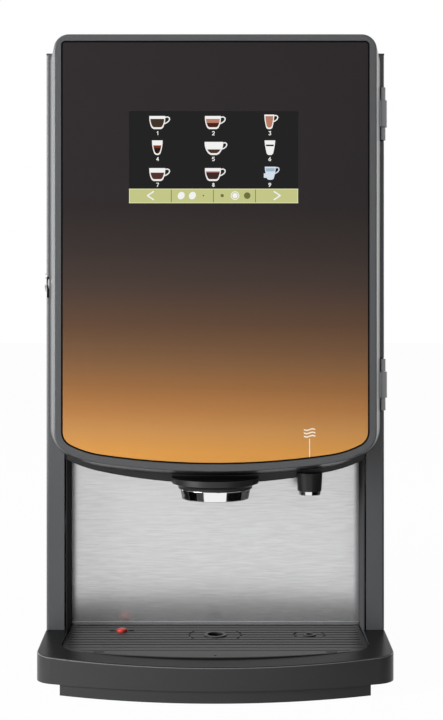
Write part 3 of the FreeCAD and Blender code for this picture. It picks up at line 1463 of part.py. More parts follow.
def build():
    pieces = {
        "base_pan": base_pan(),
        "feet": feet(),
        "left_side_panel": left_side_panel(),
        "right_side_panel": right_side_panel(),
        "top_cover": top_cover(),
        "back_panel": back_panel(),
        "splash_panel": splash_panel(),
        "bulkhead": bulkhead(),
        "canister_shelf": canister_shelf(),
        "mixer_wall": mixer_wall(),
        "outlet_apron": outlet_apron(),
        "spout_ring": spout_ring(),
        "hot_water_tap": hot_water_tap(),
        "tap_tip": tap_tip(),
        "boiler_tank": boiler_tank(),
        "boiler_lid": boiler_lid(),
        "heating_element": heating_element(),
        "outlet_valves": outlet_valves(),
        "inlet_valve": inlet_valve(),
        "inlet_hose": inlet_hose(),
        "silicone_hoses": silicone_hoses(),
        "mixing_bowls": mixing_bowls(),
        "whipper_housings": whipper_housings(),
        "impeller_left": impeller(mixer_x[0]),
        "impeller_right": impeller(mixer_x[1]),
        "whipper_motors": whipper_motors(),
        "auger_motors": auger_motors(),
        "fan_housing": fan_housing(),
        "fan_rotor": fan_rotor(),
        "control_board": control_board(),
        "power_supply": power_supply(),
        "mains_inlet": mains_inlet(),
        "panel_screws": panel_screws(),
        "door_frame": door_frame(),
        "door_glass": door_glass(),
        "display_module": display_module(),
        "door_liner": door_liner(),
        "lock_keeper": lock_keeper(),
        "body_hinges": body_hinges(),
        "door_hinges": door_hinges(),
        "lock_case": lock_case(),
        "lock_barrel": lock_barrel(),
        "drip_tray": drip_tray(),
        "drip_grate": drip_grate(),
        "tray_float": tray_float(),
    }
    for i, x in enumerate(canister_places()):
        number = str(i + 1)
        pieces["canister_" + number] = canister(x)
        pieces["canister_lid_" + number] = canister_lid(x)
        pieces["auger_" + number] = auger(x)
        pieces["agitator_" + number] = agitator(x)
        pieces["outlet_elbow_" + number] = outlet_elbow(x, elbow_tilts[i])
    for name, shape in pieces.items():
        save(name, shape)


build()
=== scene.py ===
import bpy
import json
import math
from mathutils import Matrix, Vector


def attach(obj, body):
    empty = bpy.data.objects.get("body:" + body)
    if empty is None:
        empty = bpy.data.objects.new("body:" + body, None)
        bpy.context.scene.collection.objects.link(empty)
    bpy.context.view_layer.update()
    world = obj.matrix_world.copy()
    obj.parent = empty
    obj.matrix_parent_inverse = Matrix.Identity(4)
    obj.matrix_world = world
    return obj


# A counter-top instant coffee machine. Metres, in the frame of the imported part.

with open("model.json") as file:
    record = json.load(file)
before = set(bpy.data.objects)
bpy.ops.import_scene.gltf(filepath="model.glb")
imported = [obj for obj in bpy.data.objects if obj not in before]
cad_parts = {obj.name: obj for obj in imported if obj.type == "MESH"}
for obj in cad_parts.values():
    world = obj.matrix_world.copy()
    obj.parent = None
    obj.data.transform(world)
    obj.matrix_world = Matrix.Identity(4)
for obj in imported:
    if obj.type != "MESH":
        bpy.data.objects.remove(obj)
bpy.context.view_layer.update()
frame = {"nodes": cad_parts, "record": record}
scene = bpy.context.scene
scene.view_settings.view_transform = "Standard"

# The photograph's own frame, in pixels, and where its camera stood
PHOTO_W = 443
PHOTO_H = 720
FOCAL_PX = 1266.0
VANISH_PX = (215.3, 315.0)
CAMERA_Y = -1.3175
CAMERA_Z = 0.3397
SENSOR_MM = 36.0

MM = 0.001
GLASS_FRONT_Y = -163.1


# Camera


def add_camera():
    data = bpy.data.cameras.new("camera")
    data.sensor_width = SENSOR_MM
    data.lens = FOCAL_PX * SENSOR_MM / PHOTO_H
    data.shift_x = (PHOTO_W / 2 - VANISH_PX[0]) / PHOTO_H
    data.shift_y = (VANISH_PX[1] - PHOTO_H / 2) / PHOTO_H
    data.clip_end = 60.0
    camera = bpy.data.objects.new("camera", data)
    camera.location = (0.0, CAMERA_Y, CAMERA_Z)
    camera.rotation_euler = (math.radians(90.0), 0.0, 0.0)
    scene.collection.objects.link(camera)
    scene.camera = camera


def photo_x(px, y_mm):
    """X in millimetres of a picture column, at a depth."""
    return (px - VANISH_PX[0]) * (y_mm - CAMERA_Y / MM) / FOCAL_PX


def photo_z(py, y_mm):
    return CAMERA_Z / MM - (py - VANISH_PX[1]) * (y_mm - CAMERA_Y / MM) / FOCAL_PX


# Materials


def linear(code):
    """A colour written as six hexadecimal digits, in linear light."""
    out = []
    for i in (0, 2, 4):
        c = int(code[i:i + 2], 16) / 255.0
        out.append(c / 12.92 if c <= 0.04045 else ((c + 0.055) / 1.055) ** 2.4)
    return (out[0], out[1], out[2], 1.0)


def new_material(name):
    material = bpy.data.materials.new(name)
    material.use_nodes = True
    tree = material.node_tree
    tree.nodes.clear()
    out = tree.nodes.new("ShaderNodeOutputMaterial")
    shader = tree.nodes.new("ShaderNodeBsdfPrincipled")
    tree.links.new(shader.outputs["BSDF"], out.inputs["Surface"])
    return material, tree, shader


def object_coords(tree, scale):
    coords = tree.nodes.new("ShaderNodeTexCoord")
    mapping = tree.nodes.new("ShaderNodeMapping")
    mapping.inputs["Scale"].default_value = scale
    tree.links.new(coords.outputs["Object"], mapping.inputs["Vector"])
    return mapping.outputs["Vector"]


def add_bump(tree, shader, vector, noise_scale, strength, distance):
    noise = tree.nodes.new("ShaderNodeTexNoise")
    noise.inputs["Scale"].default_value = noise_scale
    noise.inputs["Detail"].default_value = 3.0
    bump = tree.nodes.new("ShaderNodeBump")
    bump.inputs["Strength"].default_value = strength
    bump.inputs["Distance"].default_value = distance
    tree.links.new(vector, noise.inputs["Vector"])
    tree.links.new(noise.outputs["Fac"], bump.inputs["Height"])
    tree.links.new(bump.outputs["Normal"], shader.inputs["Normal"])
    return noise


def add_rough_spread(tree, shader, noise, low, high):
    spread = tree.nodes.new("ShaderNodeMapRange")
    spread.inputs["To Min"].default_value = low
    spread.inputs["To Max"].default_value = high
    tree.links.new(noise.outputs["Fac"], spread.inputs["Value"])
    tree.links.new(spread.outputs["Result"], shader.inputs["Roughness"])


def plastic(name, code, rough, grain=900.0, strength=0.25, gloss=0.5):
    """Moulded plastic or powder coat with a fine grain."""
    material, tree, shader = new_material(name)
    shader.inputs["Base Color"].default_value = linear(code)
    shader.inputs["Specular IOR Level"].default_value = gloss
    noise = add_bump(tree, shader, object_coords(tree, (1, 1, 1)), grain, strength, 0.0002)
    add_rough_spread(tree, shader, noise, rough - 0.06, rough + 0.06)
    return material


def metal(name, code, rough, stretch=(1, 1, 1), grain=400.0, strength=0.1):
    """Metal with a faint grain; the grain is drawn out along one axis for a brushed face."""
    material, tree, shader = new_material(name)
    shader.inputs["Base Color"].default_value = linear(code)
    shader.inputs["Metallic"].default_value = 1.0
    noise = add_bump(tree, shader, object_coords(tree, stretch), grain, strength, 0.0001)
    add_rough_spread(tree, shader, noise, rough - 0.05, rough + 0.05)
    return material


def tint_by(tree, shader, value, low, high, near, far):
    """Base colour that runs from one tone to another as a value runs from low to high."""
    spread = tree.nodes.new("ShaderNodeMapRange")
    spread.inputs["From Min"].default_value = low
    spread.inputs["From Max"].default_value = high
    mix = tree.nodes.new("ShaderNodeMix")
    mix.data_type = "RGBA"
    mix.inputs["A"].default_value = near
    mix.inputs["B"].default_value = far
    tree.links.new(value, spread.inputs["Value"])
    tree.links.new(spread.outputs["Result"], mix.inputs["Factor"])
    tree.links.new(mix.outputs["Result"], shader.inputs["Base Color"])


def split_axes(tree, output):
    coords = tree.nodes.new("ShaderNodeTexCoord")
    split = tree.nodes.new("ShaderNodeSeparateXYZ")
    tree.links.new(coords.outputs[output], split.inputs["Vector"])
    return split


def grate_plastic(name, code, rough, top_z):
    """Moulded plastic with painted shade: it darkens below the top face, inside slots and recesses, where
    shade falls.
    """
    material = plastic(name, code, rough, gloss=0.3)
    tree = material.node_tree
    height = split_axes(tree, "Object").outputs["Z"]
    shader = tree.nodes["Principled BSDF"]
    # Painted shade: just under the top face the tone runs down to near black, so the slots read as shaded.
    tint_by(tree, shader, height, top_z - 0.0011, top_z - 0.0002, linear("050505"), linear(code))
    return material


def brushed(name, code, rough, streak):
    """Sheet steel brushed along X: fine streaks in colour, gloss and relief, with stretched reflections."""
    material, tree, shader = new_material(name)
    shader.inputs["Metallic"].default_value = 0.88
    shader.inputs["Anisotropic"].default_value = 0.5
    tangent = tree.nodes.new("ShaderNodeTangent")
    tangent.direction_type = "RADIAL"
    tangent.axis = "X"
    tree.links.new(tangent.outputs["Tangent"], shader.inputs["Tangent"])
    noise = add_bump(tree, shader, object_coords(tree, (1.2, 1, 60)), 60.0, 0.06, 0.0001)
    add_rough_spread(tree, shader, noise, rough - 0.06, rough + 0.06)
    long_streaks = tree.nodes.new("ShaderNodeTexNoise")
    long_streaks.inputs["Scale"].default_value = 60.0
    long_streaks.inputs["Detail"].default_value = 4.0
    tree.links.new(object_coords(tree, (1.1, 1, 22)), long_streaks.inputs["Vector"])
    shade = tree.nodes.new("ShaderNodeMapRange")
    shade.inputs["From Min"].default_value = 0.3
    shade.inputs["From Max"].default_value = 0.7
    shade.inputs["To Min"].default_value = 1.0 - streak
    shade.inputs["To Max"].default_value = 1.0
    tint = tree.nodes.new("ShaderNodeMix")
    tint.data_type = "RGBA"
    tint.blend_type = "MULTIPLY"
    tint.inputs["Factor"].default_value = 1.0
    tint.inputs["A"].default_value = linear(code)
    tree.links.new(long_streaks.outputs["Fac"], shade.inputs["Value"])
    tree.links.new(shade.outputs["Result"], tint.inputs["B"])
    tree.links.new(tint.outputs["Result"], shader.inputs["Base Color"])
    return material


def add_painted_shade_sides(material, code, half_w):
    """Painted shade: the panel's side returns, and its front edge beyond a half width, are given a plain dark
    diffuse tone in place of the steel, as the shade and dark reflections there.
    """
    tree = material.node_tree
    turned = tree.nodes.new("ShaderNodeMath")
    turned.operation = "ABSOLUTE"
    tree.links.new(split_axes(tree, "Normal").outputs["X"], turned.inputs[0])
    beyond = tree.nodes.new("ShaderNodeMath")
    beyond.operation = "ABSOLUTE"
    tree.links.new(split_axes(tree, "Object").outputs["X"], beyond.inputs[0])
    outside = tree.nodes.new("ShaderNodeMath")
    outside.operation = "GREATER_THAN"
    outside.inputs[1].default_value = half_w
    tree.links.new(beyond.outputs["Value"], outside.inputs[0])
    either = tree.nodes.new("ShaderNodeMath")
    either.operation = "MAXIMUM"
    tree.links.new(turned.outputs["Value"], either.inputs[0])
    tree.links.new(outside.outputs["Value"], either.inputs[1])
    plain = tree.nodes.new("ShaderNodeBsdfDiffuse")
    plain.inputs["Color"].default_value = linear(code)
    mix = tree.nodes.new("ShaderNodeMixShader")
    tree.links.new(either.outputs["Value"], mix.inputs["Fac"])
    tree.links.new(tree.nodes["Principled BSDF"].outputs["BSDF"], mix.inputs[1])
    tree.links.new(plain.outputs["BSDF"], mix.inputs[2])
    tree.links.new(mix.outputs["Shader"], tree.nodes["Material Output"].inputs["Surface"])
    return material


def tray_plastic(name, code, rough, stops):
    """Moulded plastic whose tone follows how far a face looks up: a painted highlight on its rounded rim and
    painted shade on its top faces.
    """
    material = plastic(name, code, rough, gloss=0.12)
    tree = material.node_tree
    ramp = tree.nodes.new("ShaderNodeValToRGB")
    marks = ramp.color_ramp.elements
    while len(marks) < len(stops):
        marks.new(0.5)
    for mark, (up, tone) in zip(marks, stops):
        mark.position = up
        mark.color = linear(tone)
    tree.links.new(split_axes(tree, "Normal").outputs["Z"], ramp.inputs["Fac"])
    tree.links.new(ramp.outputs["Color"], tree.nodes["Principled BSDF"].inputs["Base Color"])
    return material


def clear_plastic(name, code, rough, through):
    material, tree, shader = new_material(name)
    shader.inputs["Base Color"].default_value = linear(code)
    shader.inputs["Transmission Weight"].default_value = through
    shader.inputs["IOR"].default_value = 1.2
    noise = add_bump(tree, shader, object_coords(tree, (1, 1, 1)), 60.0, 0.05, 0.0005)
    add_rough_spread(tree, shader, noise, rough - 0.03, rough + 0.03)
    return material


def glow(name, code, strength):
    """A lit screen mark: its own light, with the gloss turned off."""
    material, tree, shader = new_material(name)
    shader.inputs["Base Color"].default_value = (0.0, 0.0, 0.0, 1.0)
    shader.inputs["Emission Color"].default_value = linear(code)
    shader.inputs["Emission Strength"].default_value = strength
    shader.inputs["Specular IOR Level"].default_value = 0.0
    return material


# The printed panel's colour by height in millimetres, dark at the top and amber below
PANEL_STOPS = (
    (213.0, "d9994c"), (233.0, "c68e52"), (253.0, "b07946"), (273.0, "98693f"), (290.0, "855f3e"),
    (305.0, "75553b"), (330.0, "5f4635"), (365.0, "473933"), (400.0, "372f2c"), (440.0, "2c2627"),
    (480.0, "2b2728"),
)


def panel_glass(name):
    material, tree, shader = new_material(name)
    low = PANEL_STOPS[0][0]
    high = PANEL_STOPS[-1][0]
    spread = tree.nodes.new("ShaderNodeMapRange")
    spread.inputs["From Min"].default_value = low * MM
    spread.inputs["From Max"].default_value = high * MM
    ramp = tree.nodes.new("ShaderNodeValToRGB")
    ramp.color_ramp.interpolation = "LINEAR"
    marks = ramp.color_ramp.elements
    while len(marks) < len(PANEL_STOPS):
        marks.new(0.5)
    for mark, (height, code) in zip(marks, PANEL_STOPS):
        mark.position = (height - low) / (high - low)
        mark.color = linear(code)
    tree.links.new(split_axes(tree, "Object").outputs["Z"], spread.inputs["Value"])
    tree.links.new(spread.outputs["Result"], ramp.inputs["Fac"])
    tree.links.new(ramp.outputs["Color"], shader.inputs["Base Color"])
    shader.inputs["Roughness"].default_value = 0.12
    shader.inputs["Specular IOR Level"].default_value = 0.08
    return material


# Tray tones by how far a face looks up: front, rounded rim with a painted highlight, top in painted shade
TRAY_PAINTED_LIGHT_TONES = ((0.0, "3c3c3d"), (0.3, "3c3c3d"), (0.55, "828285"), (0.85, "2a2a2b"), (1.0, "1c1c1d"))


def make_materials():
    return {
        "grey_plastic": plastic("grey_plastic", "4a4b4d", 0.3, gloss=0.5),
        # The tray's bright rounded rim is a painted highlight, and its darker top is painted shade.
        "tray_plastic": tray_plastic("tray_plastic", "3a3a3b", 0.3, TRAY_PAINTED_LIGHT_TONES),
        "grey_sheet": plastic("grey_sheet", "4f5052", 0.36, gloss=0.45),
        "zinc_sheet": metal("zinc_sheet", "b9bbbd", 0.4),
        # The stainless panel's side returns and outer front edge carry a dark painted shade.
        "stainless_panel": add_painted_shade_sides(brushed("stainless_panel", "dadadb", 0.22, 0.13), "48484a", 0.1409),
        "dark_plastic": plastic("dark_plastic", "262627", 0.35, gloss=0.3),
        "chrome_ring": metal("chrome_ring", "f2f2f2", 0.08, grain=200.0, strength=0.02),
        "tap_chrome": metal("tap_chrome", "e8e8e8", 0.12, grain=200.0, strength=0.02),
        "black_plastic": plastic("black_plastic", "1f1f20", 0.35, gloss=0.3),
        "boiler_steel": metal("boiler_steel", "c9c9c7", 0.3, (1, 1, 20), 60.0, 0.1),
        "heater_steel": metal("heater_steel", "8f8a84", 0.4),
        "valve_plastic": plastic("valve_plastic", "d8d6cc", 0.45),
        "hose_silicone": clear_plastic("hose_silicone", "e6e6e0", 0.35, 0.35),
        "bowl_plastic": plastic("bowl_plastic", "dcdcdc", 0.35),
        "whipper_plastic": plastic("whipper_plastic", "34353a", 0.4),
        "white_plastic": plastic("white_plastic", "dededc", 0.4),
        "motor_steel": metal("motor_steel", "b4b4b4", 0.35),
        "motor_plastic": plastic("motor_plastic", "26262a", 0.5),
        "board_green": plastic("board_green", "1d5a38", 0.4, 200.0, 0.4),
        "screw_steel": metal("screw_steel", "b0b0b0", 0.3),
        "door_glass": panel_glass("door_glass"),
        "screen_black": plastic("screen_black", "121214", 0.3, gloss=0.1),
        "hinge_steel": metal("hinge_steel", "77787a", 0.45),
        "lock_chrome": metal("lock_chrome", "d8d8d8", 0.18),
        "grate_plastic": grate_plastic("grate_plastic", "323233", 0.36, 0.036),
        "float_red": plastic("float_red", "e03428", 0.3, 300.0, 0.1),
        "canister_clear": clear_plastic("canister_clear", "dfe4e8", 0.25, 0.8),
        "auger_plastic": plastic("auger_plastic", "e4e2da", 0.4),
        "elbow_plastic": plastic("elbow_plastic", "2c2c2e", 0.4),
        "foot_rubber": plastic("foot_rubber", "151515", 0.8),
    }


def dress_nodes(materials):
    for item in frame["record"]["subparts"]:
        node = frame["nodes"][item["node"]]
        for slot in node.material_slots:
            slot.material = materials[item["material_slot"]]


# Marks on the glass


def add_mesh(name, verts, faces, material):
    mesh = bpy.data.meshes.new(name)
    mesh.from_pydata([Vector(v) * MM for v in verts], [], faces)
    mesh.update()
    mesh.materials.append(material)
    obj = bpy.data.objects.new(name, mesh)
    scene.collection.objects.link(obj)
    return obj


def decal(name, outlines, level, material, body="door"):
    """Thin flat marks on the glass, from outlines in X and Z millimetres, a few hundredths proud."""
    y0 = GLASS_FRONT_Y - 0.02
    y1 = GLASS_FRONT_Y - 0.03 - 0.04 * level
    verts = []
    faces = []
    for outline in outlines:
        n = len(outline)
        area = 0.0
        for i, (xa, za) in enumerate(outline):
            xb, zb = outline[(i + 1) % n]
            area += xa * zb - xb * za
        pts = list(outline) if area > 0 else list(reversed(outline))
        base = len(verts)
        verts += [(x, y1, z) for x, z in pts] + [(x, y0, z) for x, z in pts]
        faces.append(tuple(base + i for i in range(n)))
        faces.append(tuple(base + n + i for i in reversed(range(n))))
        for i in range(n):
            j = (i + 1) % n
            faces.append((base + i, base + n + i, base + n + j, base + j))
    obj = add_mesh(name, verts, faces, material)
    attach(obj, body)
    return obj


def rect(x0, x1, z0, z1):
    return [(x0, z0), (x1, z0), (x1, z1), (x0, z1)]


def disc(x, z, rx, rz=None, count=28):
    rz = rx if rz is None else rz
    angles = [2 * math.pi * i / count for i in range(count)]
    return [(x + rx * math.cos(a), z + rz * math.sin(a)) for a in angles]


def stroke(points, width, closed=False):
    """Quads along a line of points."""
    out = []
    pairs = list(zip(points[:-1], points[1:]))
    if closed:
        pairs.append((points[-1], points[0]))
    for (x0, z0), (x1, z1) in pairs:
        length = math.hypot(x1 - x0, z1 - z0)
        nx = -(z1 - z0) / length * width / 2
        nz = (x1 - x0) / length * width / 2
        ex = (x1 - x0) / length * width * 0.25
        ez = (z1 - z0) / length * width * 0.25
        upper = [(x0 - ex + nx, z0 - ez + nz), (x1 + ex + nx, z1 + ez + nz)]
        lower = [(x1 + ex - nx, z1 + ez - nz), (x0 - ex - nx, z0 - ez - nz)]
        out.append(upper + lower)
    return out


def ribbon(points, width):
    """One outline round a line of points that runs from left to right."""
    upper = [(x, z + width / 2) for x, z in points]
    lower = [(x, z - width / 2) for x, z in reversed(points)]
    return upper + lower


# The lit screen. Places are picture columns and rows, because the marks were read from there.
SCREEN_PX = (129.1, 298.1, 111.1, 203.2)
BAR_TOP_PX = 188.7
DIVIDERS_PX = (171.3, 213.4, 255.5)
CAPTIONS_PX = (133.2, 159.0, 184.9)
DIGIT_H_PX = 3.5
BAR_MID_PX = 195.6
ARROW_TIPS_PX = (147.4, 280.2)
ARROW_LENGTH_PX = 6.2
ARROW_HALF_H_PX = 4.1
BEANS_PX = (181.2, 192.4)
STRENGTH_DOT_PX = 203.4
SIZE_DOTS_PX = (222.2, 235.0, 247.2)
SIZE_RING_PX = 3.9
NUMBERS_PX = (157.6, 213.4, 269.8)
WAVES_PX = (303.8, 315.4, (429.6, 432.9, 436.2))
TAP_LINE_PX = (309.6, 439.0, 457.4)

# Cups: middle column, top and bottom row, half width at the top and the bottom, how full the sides
# stay, and handle reach; then the bands of drink inside as (top row, bottom row, colour)
CUPS = (
    ((157.3, 116.0, 129.1, 8.0, 4.9, 2.6, 4.3), ((118.9, 127.3, "43352a"),)),
    ((212.9, 116.0, 129.1, 8.0, 4.9, 2.6, 4.3), ((118.9, 122.9, "b5806d"), (122.9, 127.3, "48241a"))),
    ((269.3, 114.6, 129.1, 4.9, 2.7, 1.9, 3.6), ((116.1, 127.6, "b67c68"),)),
    ((157.3, 140.4, 155.0, 5.3, 2.5, 2.2, 0.0), ((145.4, 148.0, "7e3420"), (148.0, 153.6, "2a1c18"))),
    ((213.9, 141.9, 155.0, 9.3, 4.0, 2.6, 3.6), ((149.4, 153.2, "4a352b"),)),
    ((269.9, 140.4, 155.0, 5.3, 2.8, 1.5, 0.0), ((144.6, 146.2, "1c1c1c"),)),
    ((157.3, 168.1, 181.0, 8.0, 4.9, 2.6, 4.3), ((172.6, 179.2, "54352f"),)),
    ((212.9, 168.1, 181.0, 8.0, 4.9, 2.6, 4.3), ((171.2, 172.3, "c88f8b"), (172.3, 179.2, "3e2a26"))),
    ((270.3, 166.7, 179.8, 5.5, 3.0, 1.7, 3.2), ((168.2, 171.4, "9fb4c6"),)),
)
CUP_WALL_PX = 0.95
CUP_FOOT_PX = 1.7
HANDLE_PX = ((-0.5, 1.3), (2.2, 0.9), (3.8, 1.7), (4.2, 3.4), (3.2, 5.2), (1.2, 6.7), (-0.9, 7.6))
TEABAG_PX = (263.8, 268.0, 173.4, 177.8)
WATER_CUP = 8

DIGITS = {
    1: [[(0.1, 0.75), (0.38, 1), (0.38, 0)]],
    2: [[(0, 0.8), (0.15, 1), (0.45, 1), (0.6, 0.8), (0.6, 0.6), (0, 0), (0.6, 0)]],
    3: [[(0, 1), (0.6, 1), (0.3, 0.58), (0.55, 0.45), (0.6, 0.2), (0.4, 0), (0.15, 0), (0, 0.15)]],
    4: [[(0.45, 0), (0.45, 1), (0, 0.3), (0.62, 0.3)]],
    5: [[(0.6, 1), (0.05, 1), (0, 0.55), (0.35, 0.62), (0.6, 0.4), (0.6, 0.2), (0.4, 0), (0, 0.05)]],
    6: [[(0.5, 1), (0.15, 0.65), (0, 0.3), (0.1, 0.05), (0.3, 0), (0.5, 0.05), (0.6, 0.3), (0.5, 0.5),
         (0.3, 0.55), (0.05, 0.4)]],
    7: [[(0, 1), (0.6, 1), (0.2, 0)]],
    8: [[(0.3, 0.55), (0.05, 0.75), (0.3, 1), (0.55, 0.75), (0.3, 0.55), (0, 0.27), (0.3, 0), (0.6, 0.27),
         (0.3, 0.55)]],
    9: [[(0.1, 0), (0.45, 0.35), (0.6, 0.7), (0.5, 0.95), (0.3, 1), (0.1, 0.95), (0, 0.7), (0.1, 0.5),
         (0.3, 0.45), (0.55, 0.6)]],
}


def on_glass(outline):
    """Picture columns and rows to X and Z millimetres on the glass."""
    return [(photo_x(px, GLASS_FRONT_Y), photo_z(py, GLASS_FRONT_Y)) for px, py in outline]


def cup_half(cup, py):
    """Half the cup's width at a row: the sides curve inwards and end in a round foot."""
    mid, top, bottom, wide, narrow, full, _ = cup
    t = min(max((py - top) / (bottom - top), 0.0), 1.0)
    foot = max(0.0, (t - 0.86) / 0.14)
    return wide + (narrow - wide) * t ** full - 1.3 * (1.0 - math.sqrt(1.0 - foot * foot))


def cup_band(cup, top, bottom):
    rows = [top + (bottom - top) * i / 14.0 for i in range(15)]
    mid = cup[0]
    right = [(mid + cup_half(cup, py), py) for py in rows]
    left = [(mid - cup_half(cup, py), py) for py in reversed(rows)]
    return on_glass(right + left)


def cup_inside(cup):
    """The hollow of a cup: its outline drawn in by the wall and the foot."""
    mid, top, bottom, wide, narrow, full, reach = cup
    return (mid, top, bottom - CUP_FOOT_PX, wide - CUP_WALL_PX, narrow - 0.6 * CUP_WALL_PX, full, reach)


def cup_handle(cup):
    mid, top, bottom, wide, narrow, full, reach = cup
    size = reach / HANDLE_PX[3][0]
    points = [(mid + wide + x * size, top + y * (0.5 + 0.5 * size)) for x, y in HANDLE_PX]
    return stroke(on_glass(points), 1.0)


def digit_marks(number, px, py):
    marks = []
    for line in DIGITS[number]:
        pts = [(px + (x - 0.3) * DIGIT_H_PX, py + (0.5 - z) * DIGIT_H_PX) for x, z in line]
        marks += stroke(on_glass(pts), 0.62)
    return marks


def add_screen():
    white = glow("screen_white", "f2f2f0", 1.0)
    ground = glow("screen_ground", "242424", 1.0)
    bar = glow("screen_bar", "c3c687", 1.0)
    olive = glow("screen_olive", "6f7040", 1.0)
    edge = glow("screen_bar_edge", "e6e8b8", 1.0)
    pale = glow("screen_blue", "d3dfea", 1.0)
    x0, x1, y0, y1 = SCREEN_PX
    decal("screen_ground", [on_glass([(x0, y0), (x1, y0), (x1, BAR_TOP_PX), (x0, BAR_TOP_PX)])], 0, ground)
    decal("screen_bar", [on_glass([(x0, BAR_TOP_PX), (x1, BAR_TOP_PX), (x1, y1), (x0, y1)])], 0, bar)
    frame_lines = []
    for a, b in (((x0, BAR_TOP_PX + 0.4), (x1, BAR_TOP_PX + 0.4)), ((x0, y1 - 0.4), (x1, y1 - 0.4))):
        frame_lines += stroke(on_glass([a, b]), 0.5)
    for x in (x0 + 0.4, x1 - 0.4):
        frame_lines += stroke(on_glass([(x, BAR_TOP_PX + 0.6), (x, y1 - 0.6)]), 0.5)
    decal("screen_bar_edge", frame_lines, 1, edge)
    dividers = []
    for x in DIVIDERS_PX:
        dividers += stroke(on_glass([(x, BAR_TOP_PX + 0.9), (x, y1 - 0.9)]), 0.6)
    bodies = []
    water = []
    numbers = []
    bands = {}
    for i, (cup, drinks) in enumerate(CUPS):
        target = water if i == WATER_CUP else bodies
        target.append(cup_band(cup, cup[1], cup[2]))
        if cup[6] > 0:
            target += cup_handle(cup)
        for top, bottom, code in drinks:
            bands.setdefault(code, []).append(cup_band(cup_inside(cup), top, bottom))
        numbers += digit_marks(i + 1, NUMBERS_PX[i % 3], CAPTIONS_PX[i // 3])
    left, right, top, bottom = TEABAG_PX
    water.append(on_glass([(left, top), (right, top), (right, bottom), (left, bottom)]))
    decal("screen_cups", bodies, 1, white)
    decal("screen_water_cup", water, 1, pale)
    decal("screen_numbers", numbers, 1, white)
    for code, outlines in bands.items():
        decal("screen_drink_" + code, outlines, 2, glow("drink_" + code, code, 1.0))
    arrows = []
    for tip, side in zip(ARROW_TIPS_PX, (1, -1)):
        back = tip + side * ARROW_LENGTH_PX
        pts = [(back, BAR_MID_PX - ARROW_HALF_H_PX), (tip, BAR_MID_PX), (back, BAR_MID_PX + ARROW_HALF_H_PX)]
        arrows += stroke(on_glass(pts), 1.2)
    beans = []
    for px in BEANS_PX:
        pts = []
        for i in range(20):
            a = 2 * math.pi * i / 20
            ex = 3.5 * math.cos(a)
            ey = 4.2 * math.sin(a)
            pts.append((px + ex * 0.97 - ey * 0.24, BAR_MID_PX + ex * 0.24 * 0.6 + ey * 0.9))
        beans.append(on_glass(pts))
    ring = disc(SIZE_DOTS_PX[1], BAR_MID_PX, SIZE_RING_PX, count=20)
    arrows += stroke(on_glass(ring), 0.7, closed=True)
    x_mid = photo_x(SIZE_DOTS_PX[1], GLASS_FRONT_Y)
    z_mid = photo_z(BAR_MID_PX, GLASS_FRONT_Y)
    beans.append(disc(x_mid, z_mid, 2.4))
    decal("screen_arrows", arrows, 1, white)
    decal("screen_beans", beans, 1, white)
    olive_dots = ((STRENGTH_DOT_PX, 0.7), (SIZE_DOTS_PX[0], 1.5), (SIZE_DOTS_PX[2], 3.0))
    dots = [disc(photo_x(px, GLASS_FRONT_Y), z_mid, r) for px, r in olive_dots]
    decal("screen_dots", dots + dividers, 1, olive)


def add_water_mark():
    """The printed hot-water sign: three waves over a line that points to the tap."""
    print_white = plastic("print_white", "f6ead6", 0.4, 300.0, 0.05)
    x0, x1, rows = WAVES_PX
    lines = []
    for row in rows:
        pts = [(x0 + (x1 - x0) * i / 16.0, row + 0.75 * math.sin(2 * math.pi * i / 16.0)) for i in range(17)]
        lines.append(ribbon(on_glass(pts), 1.3))
    px, top, bottom = TAP_LINE_PX
    lines += stroke(on_glass([(px, top), (px, bottom)]), 0.75)
    decal("hot_water_mark", lines, 0, print_white)


# The black line round the glass, and the X, Y and Z spans of the niche panel's hem, in millimetres
SEAL_W = 1.05
SEAL_OUT = 0.2
HEM = ((-140.8, 140.8), (-74.5, -73.7), (37.6, 38.5))


def outline_of(node):
    """The convex outline of a node as seen from the front, in X and Z millimetres."""
    pts = sorted({(round(v.co.x / MM, 2), round(v.co.z / MM, 2)) for v in node.data.vertices})
    halves = []
    for run in (pts, pts[::-1]):
        half = []
        for p in run:
            while len(half) > 1 and turn(half[-2], half[-1], p) <= 0:
                half.pop()
            half.append(p)
        halves.append(half[:-1])
    return halves[0] + halves[1]


def turn(a, b, c):
    return (b[0] - a[0]) * (c[1] - a[1]) - (b[1] - a[1]) * (c[0] - a[0])


def moved_in(outline, step):
    """A closed anticlockwise outline, each point moved inwards along the bisector of its corner."""
    out = []
    for i, (x, z) in enumerate(outline):
        (xa, za), (xb, zb) = outline[i - 1], outline[(i + 1) % len(outline)]
        tx, tz = xb - xa, zb - za
        length = math.hypot(tx, tz)
        out.append((x - tz / length * step, z + tx / length * step))
    return out


def add_glass_seal():
    """The black line that frames the glass."""
    edge = outline_of(frame["nodes"]["door_glass"])
    outer = moved_in(edge, -SEAL_OUT)
    inner = moved_in(edge, SEAL_W)
    n = len(edge)
    quads = [[outer[i], outer[(i + 1) % n], inner[(i + 1) % n], inner[i]] for i in range(n)]
    decal("glass_seal", quads, 0, plastic("seal_black", "040404", 0.4, gloss=0.05))


def add_steel_hem(materials):
    """The folded lower hem of the niche panel, just above the grate."""
    (x0, x1), (y0, y1), (z0, z1) = HEM
    corners = [(x, y, z) for x in (x0, x1) for y in (y0, y1) for z in (z0, z1)]
    faces = [(0, 4, 6, 2), (1, 3, 7, 5), (0, 1, 5, 4), (2, 6, 7, 3), (0, 2, 3, 1), (4, 5, 7, 6)]
    hem = add_mesh("steel_hem", corners, faces, materials["zinc_sheet"])
    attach(hem, "body")


add_camera()
materials = make_materials()
dress_nodes(materials)
add_screen()
add_water_mark()
add_glass_seal()
add_steel_hem(materials)


# Floor and light


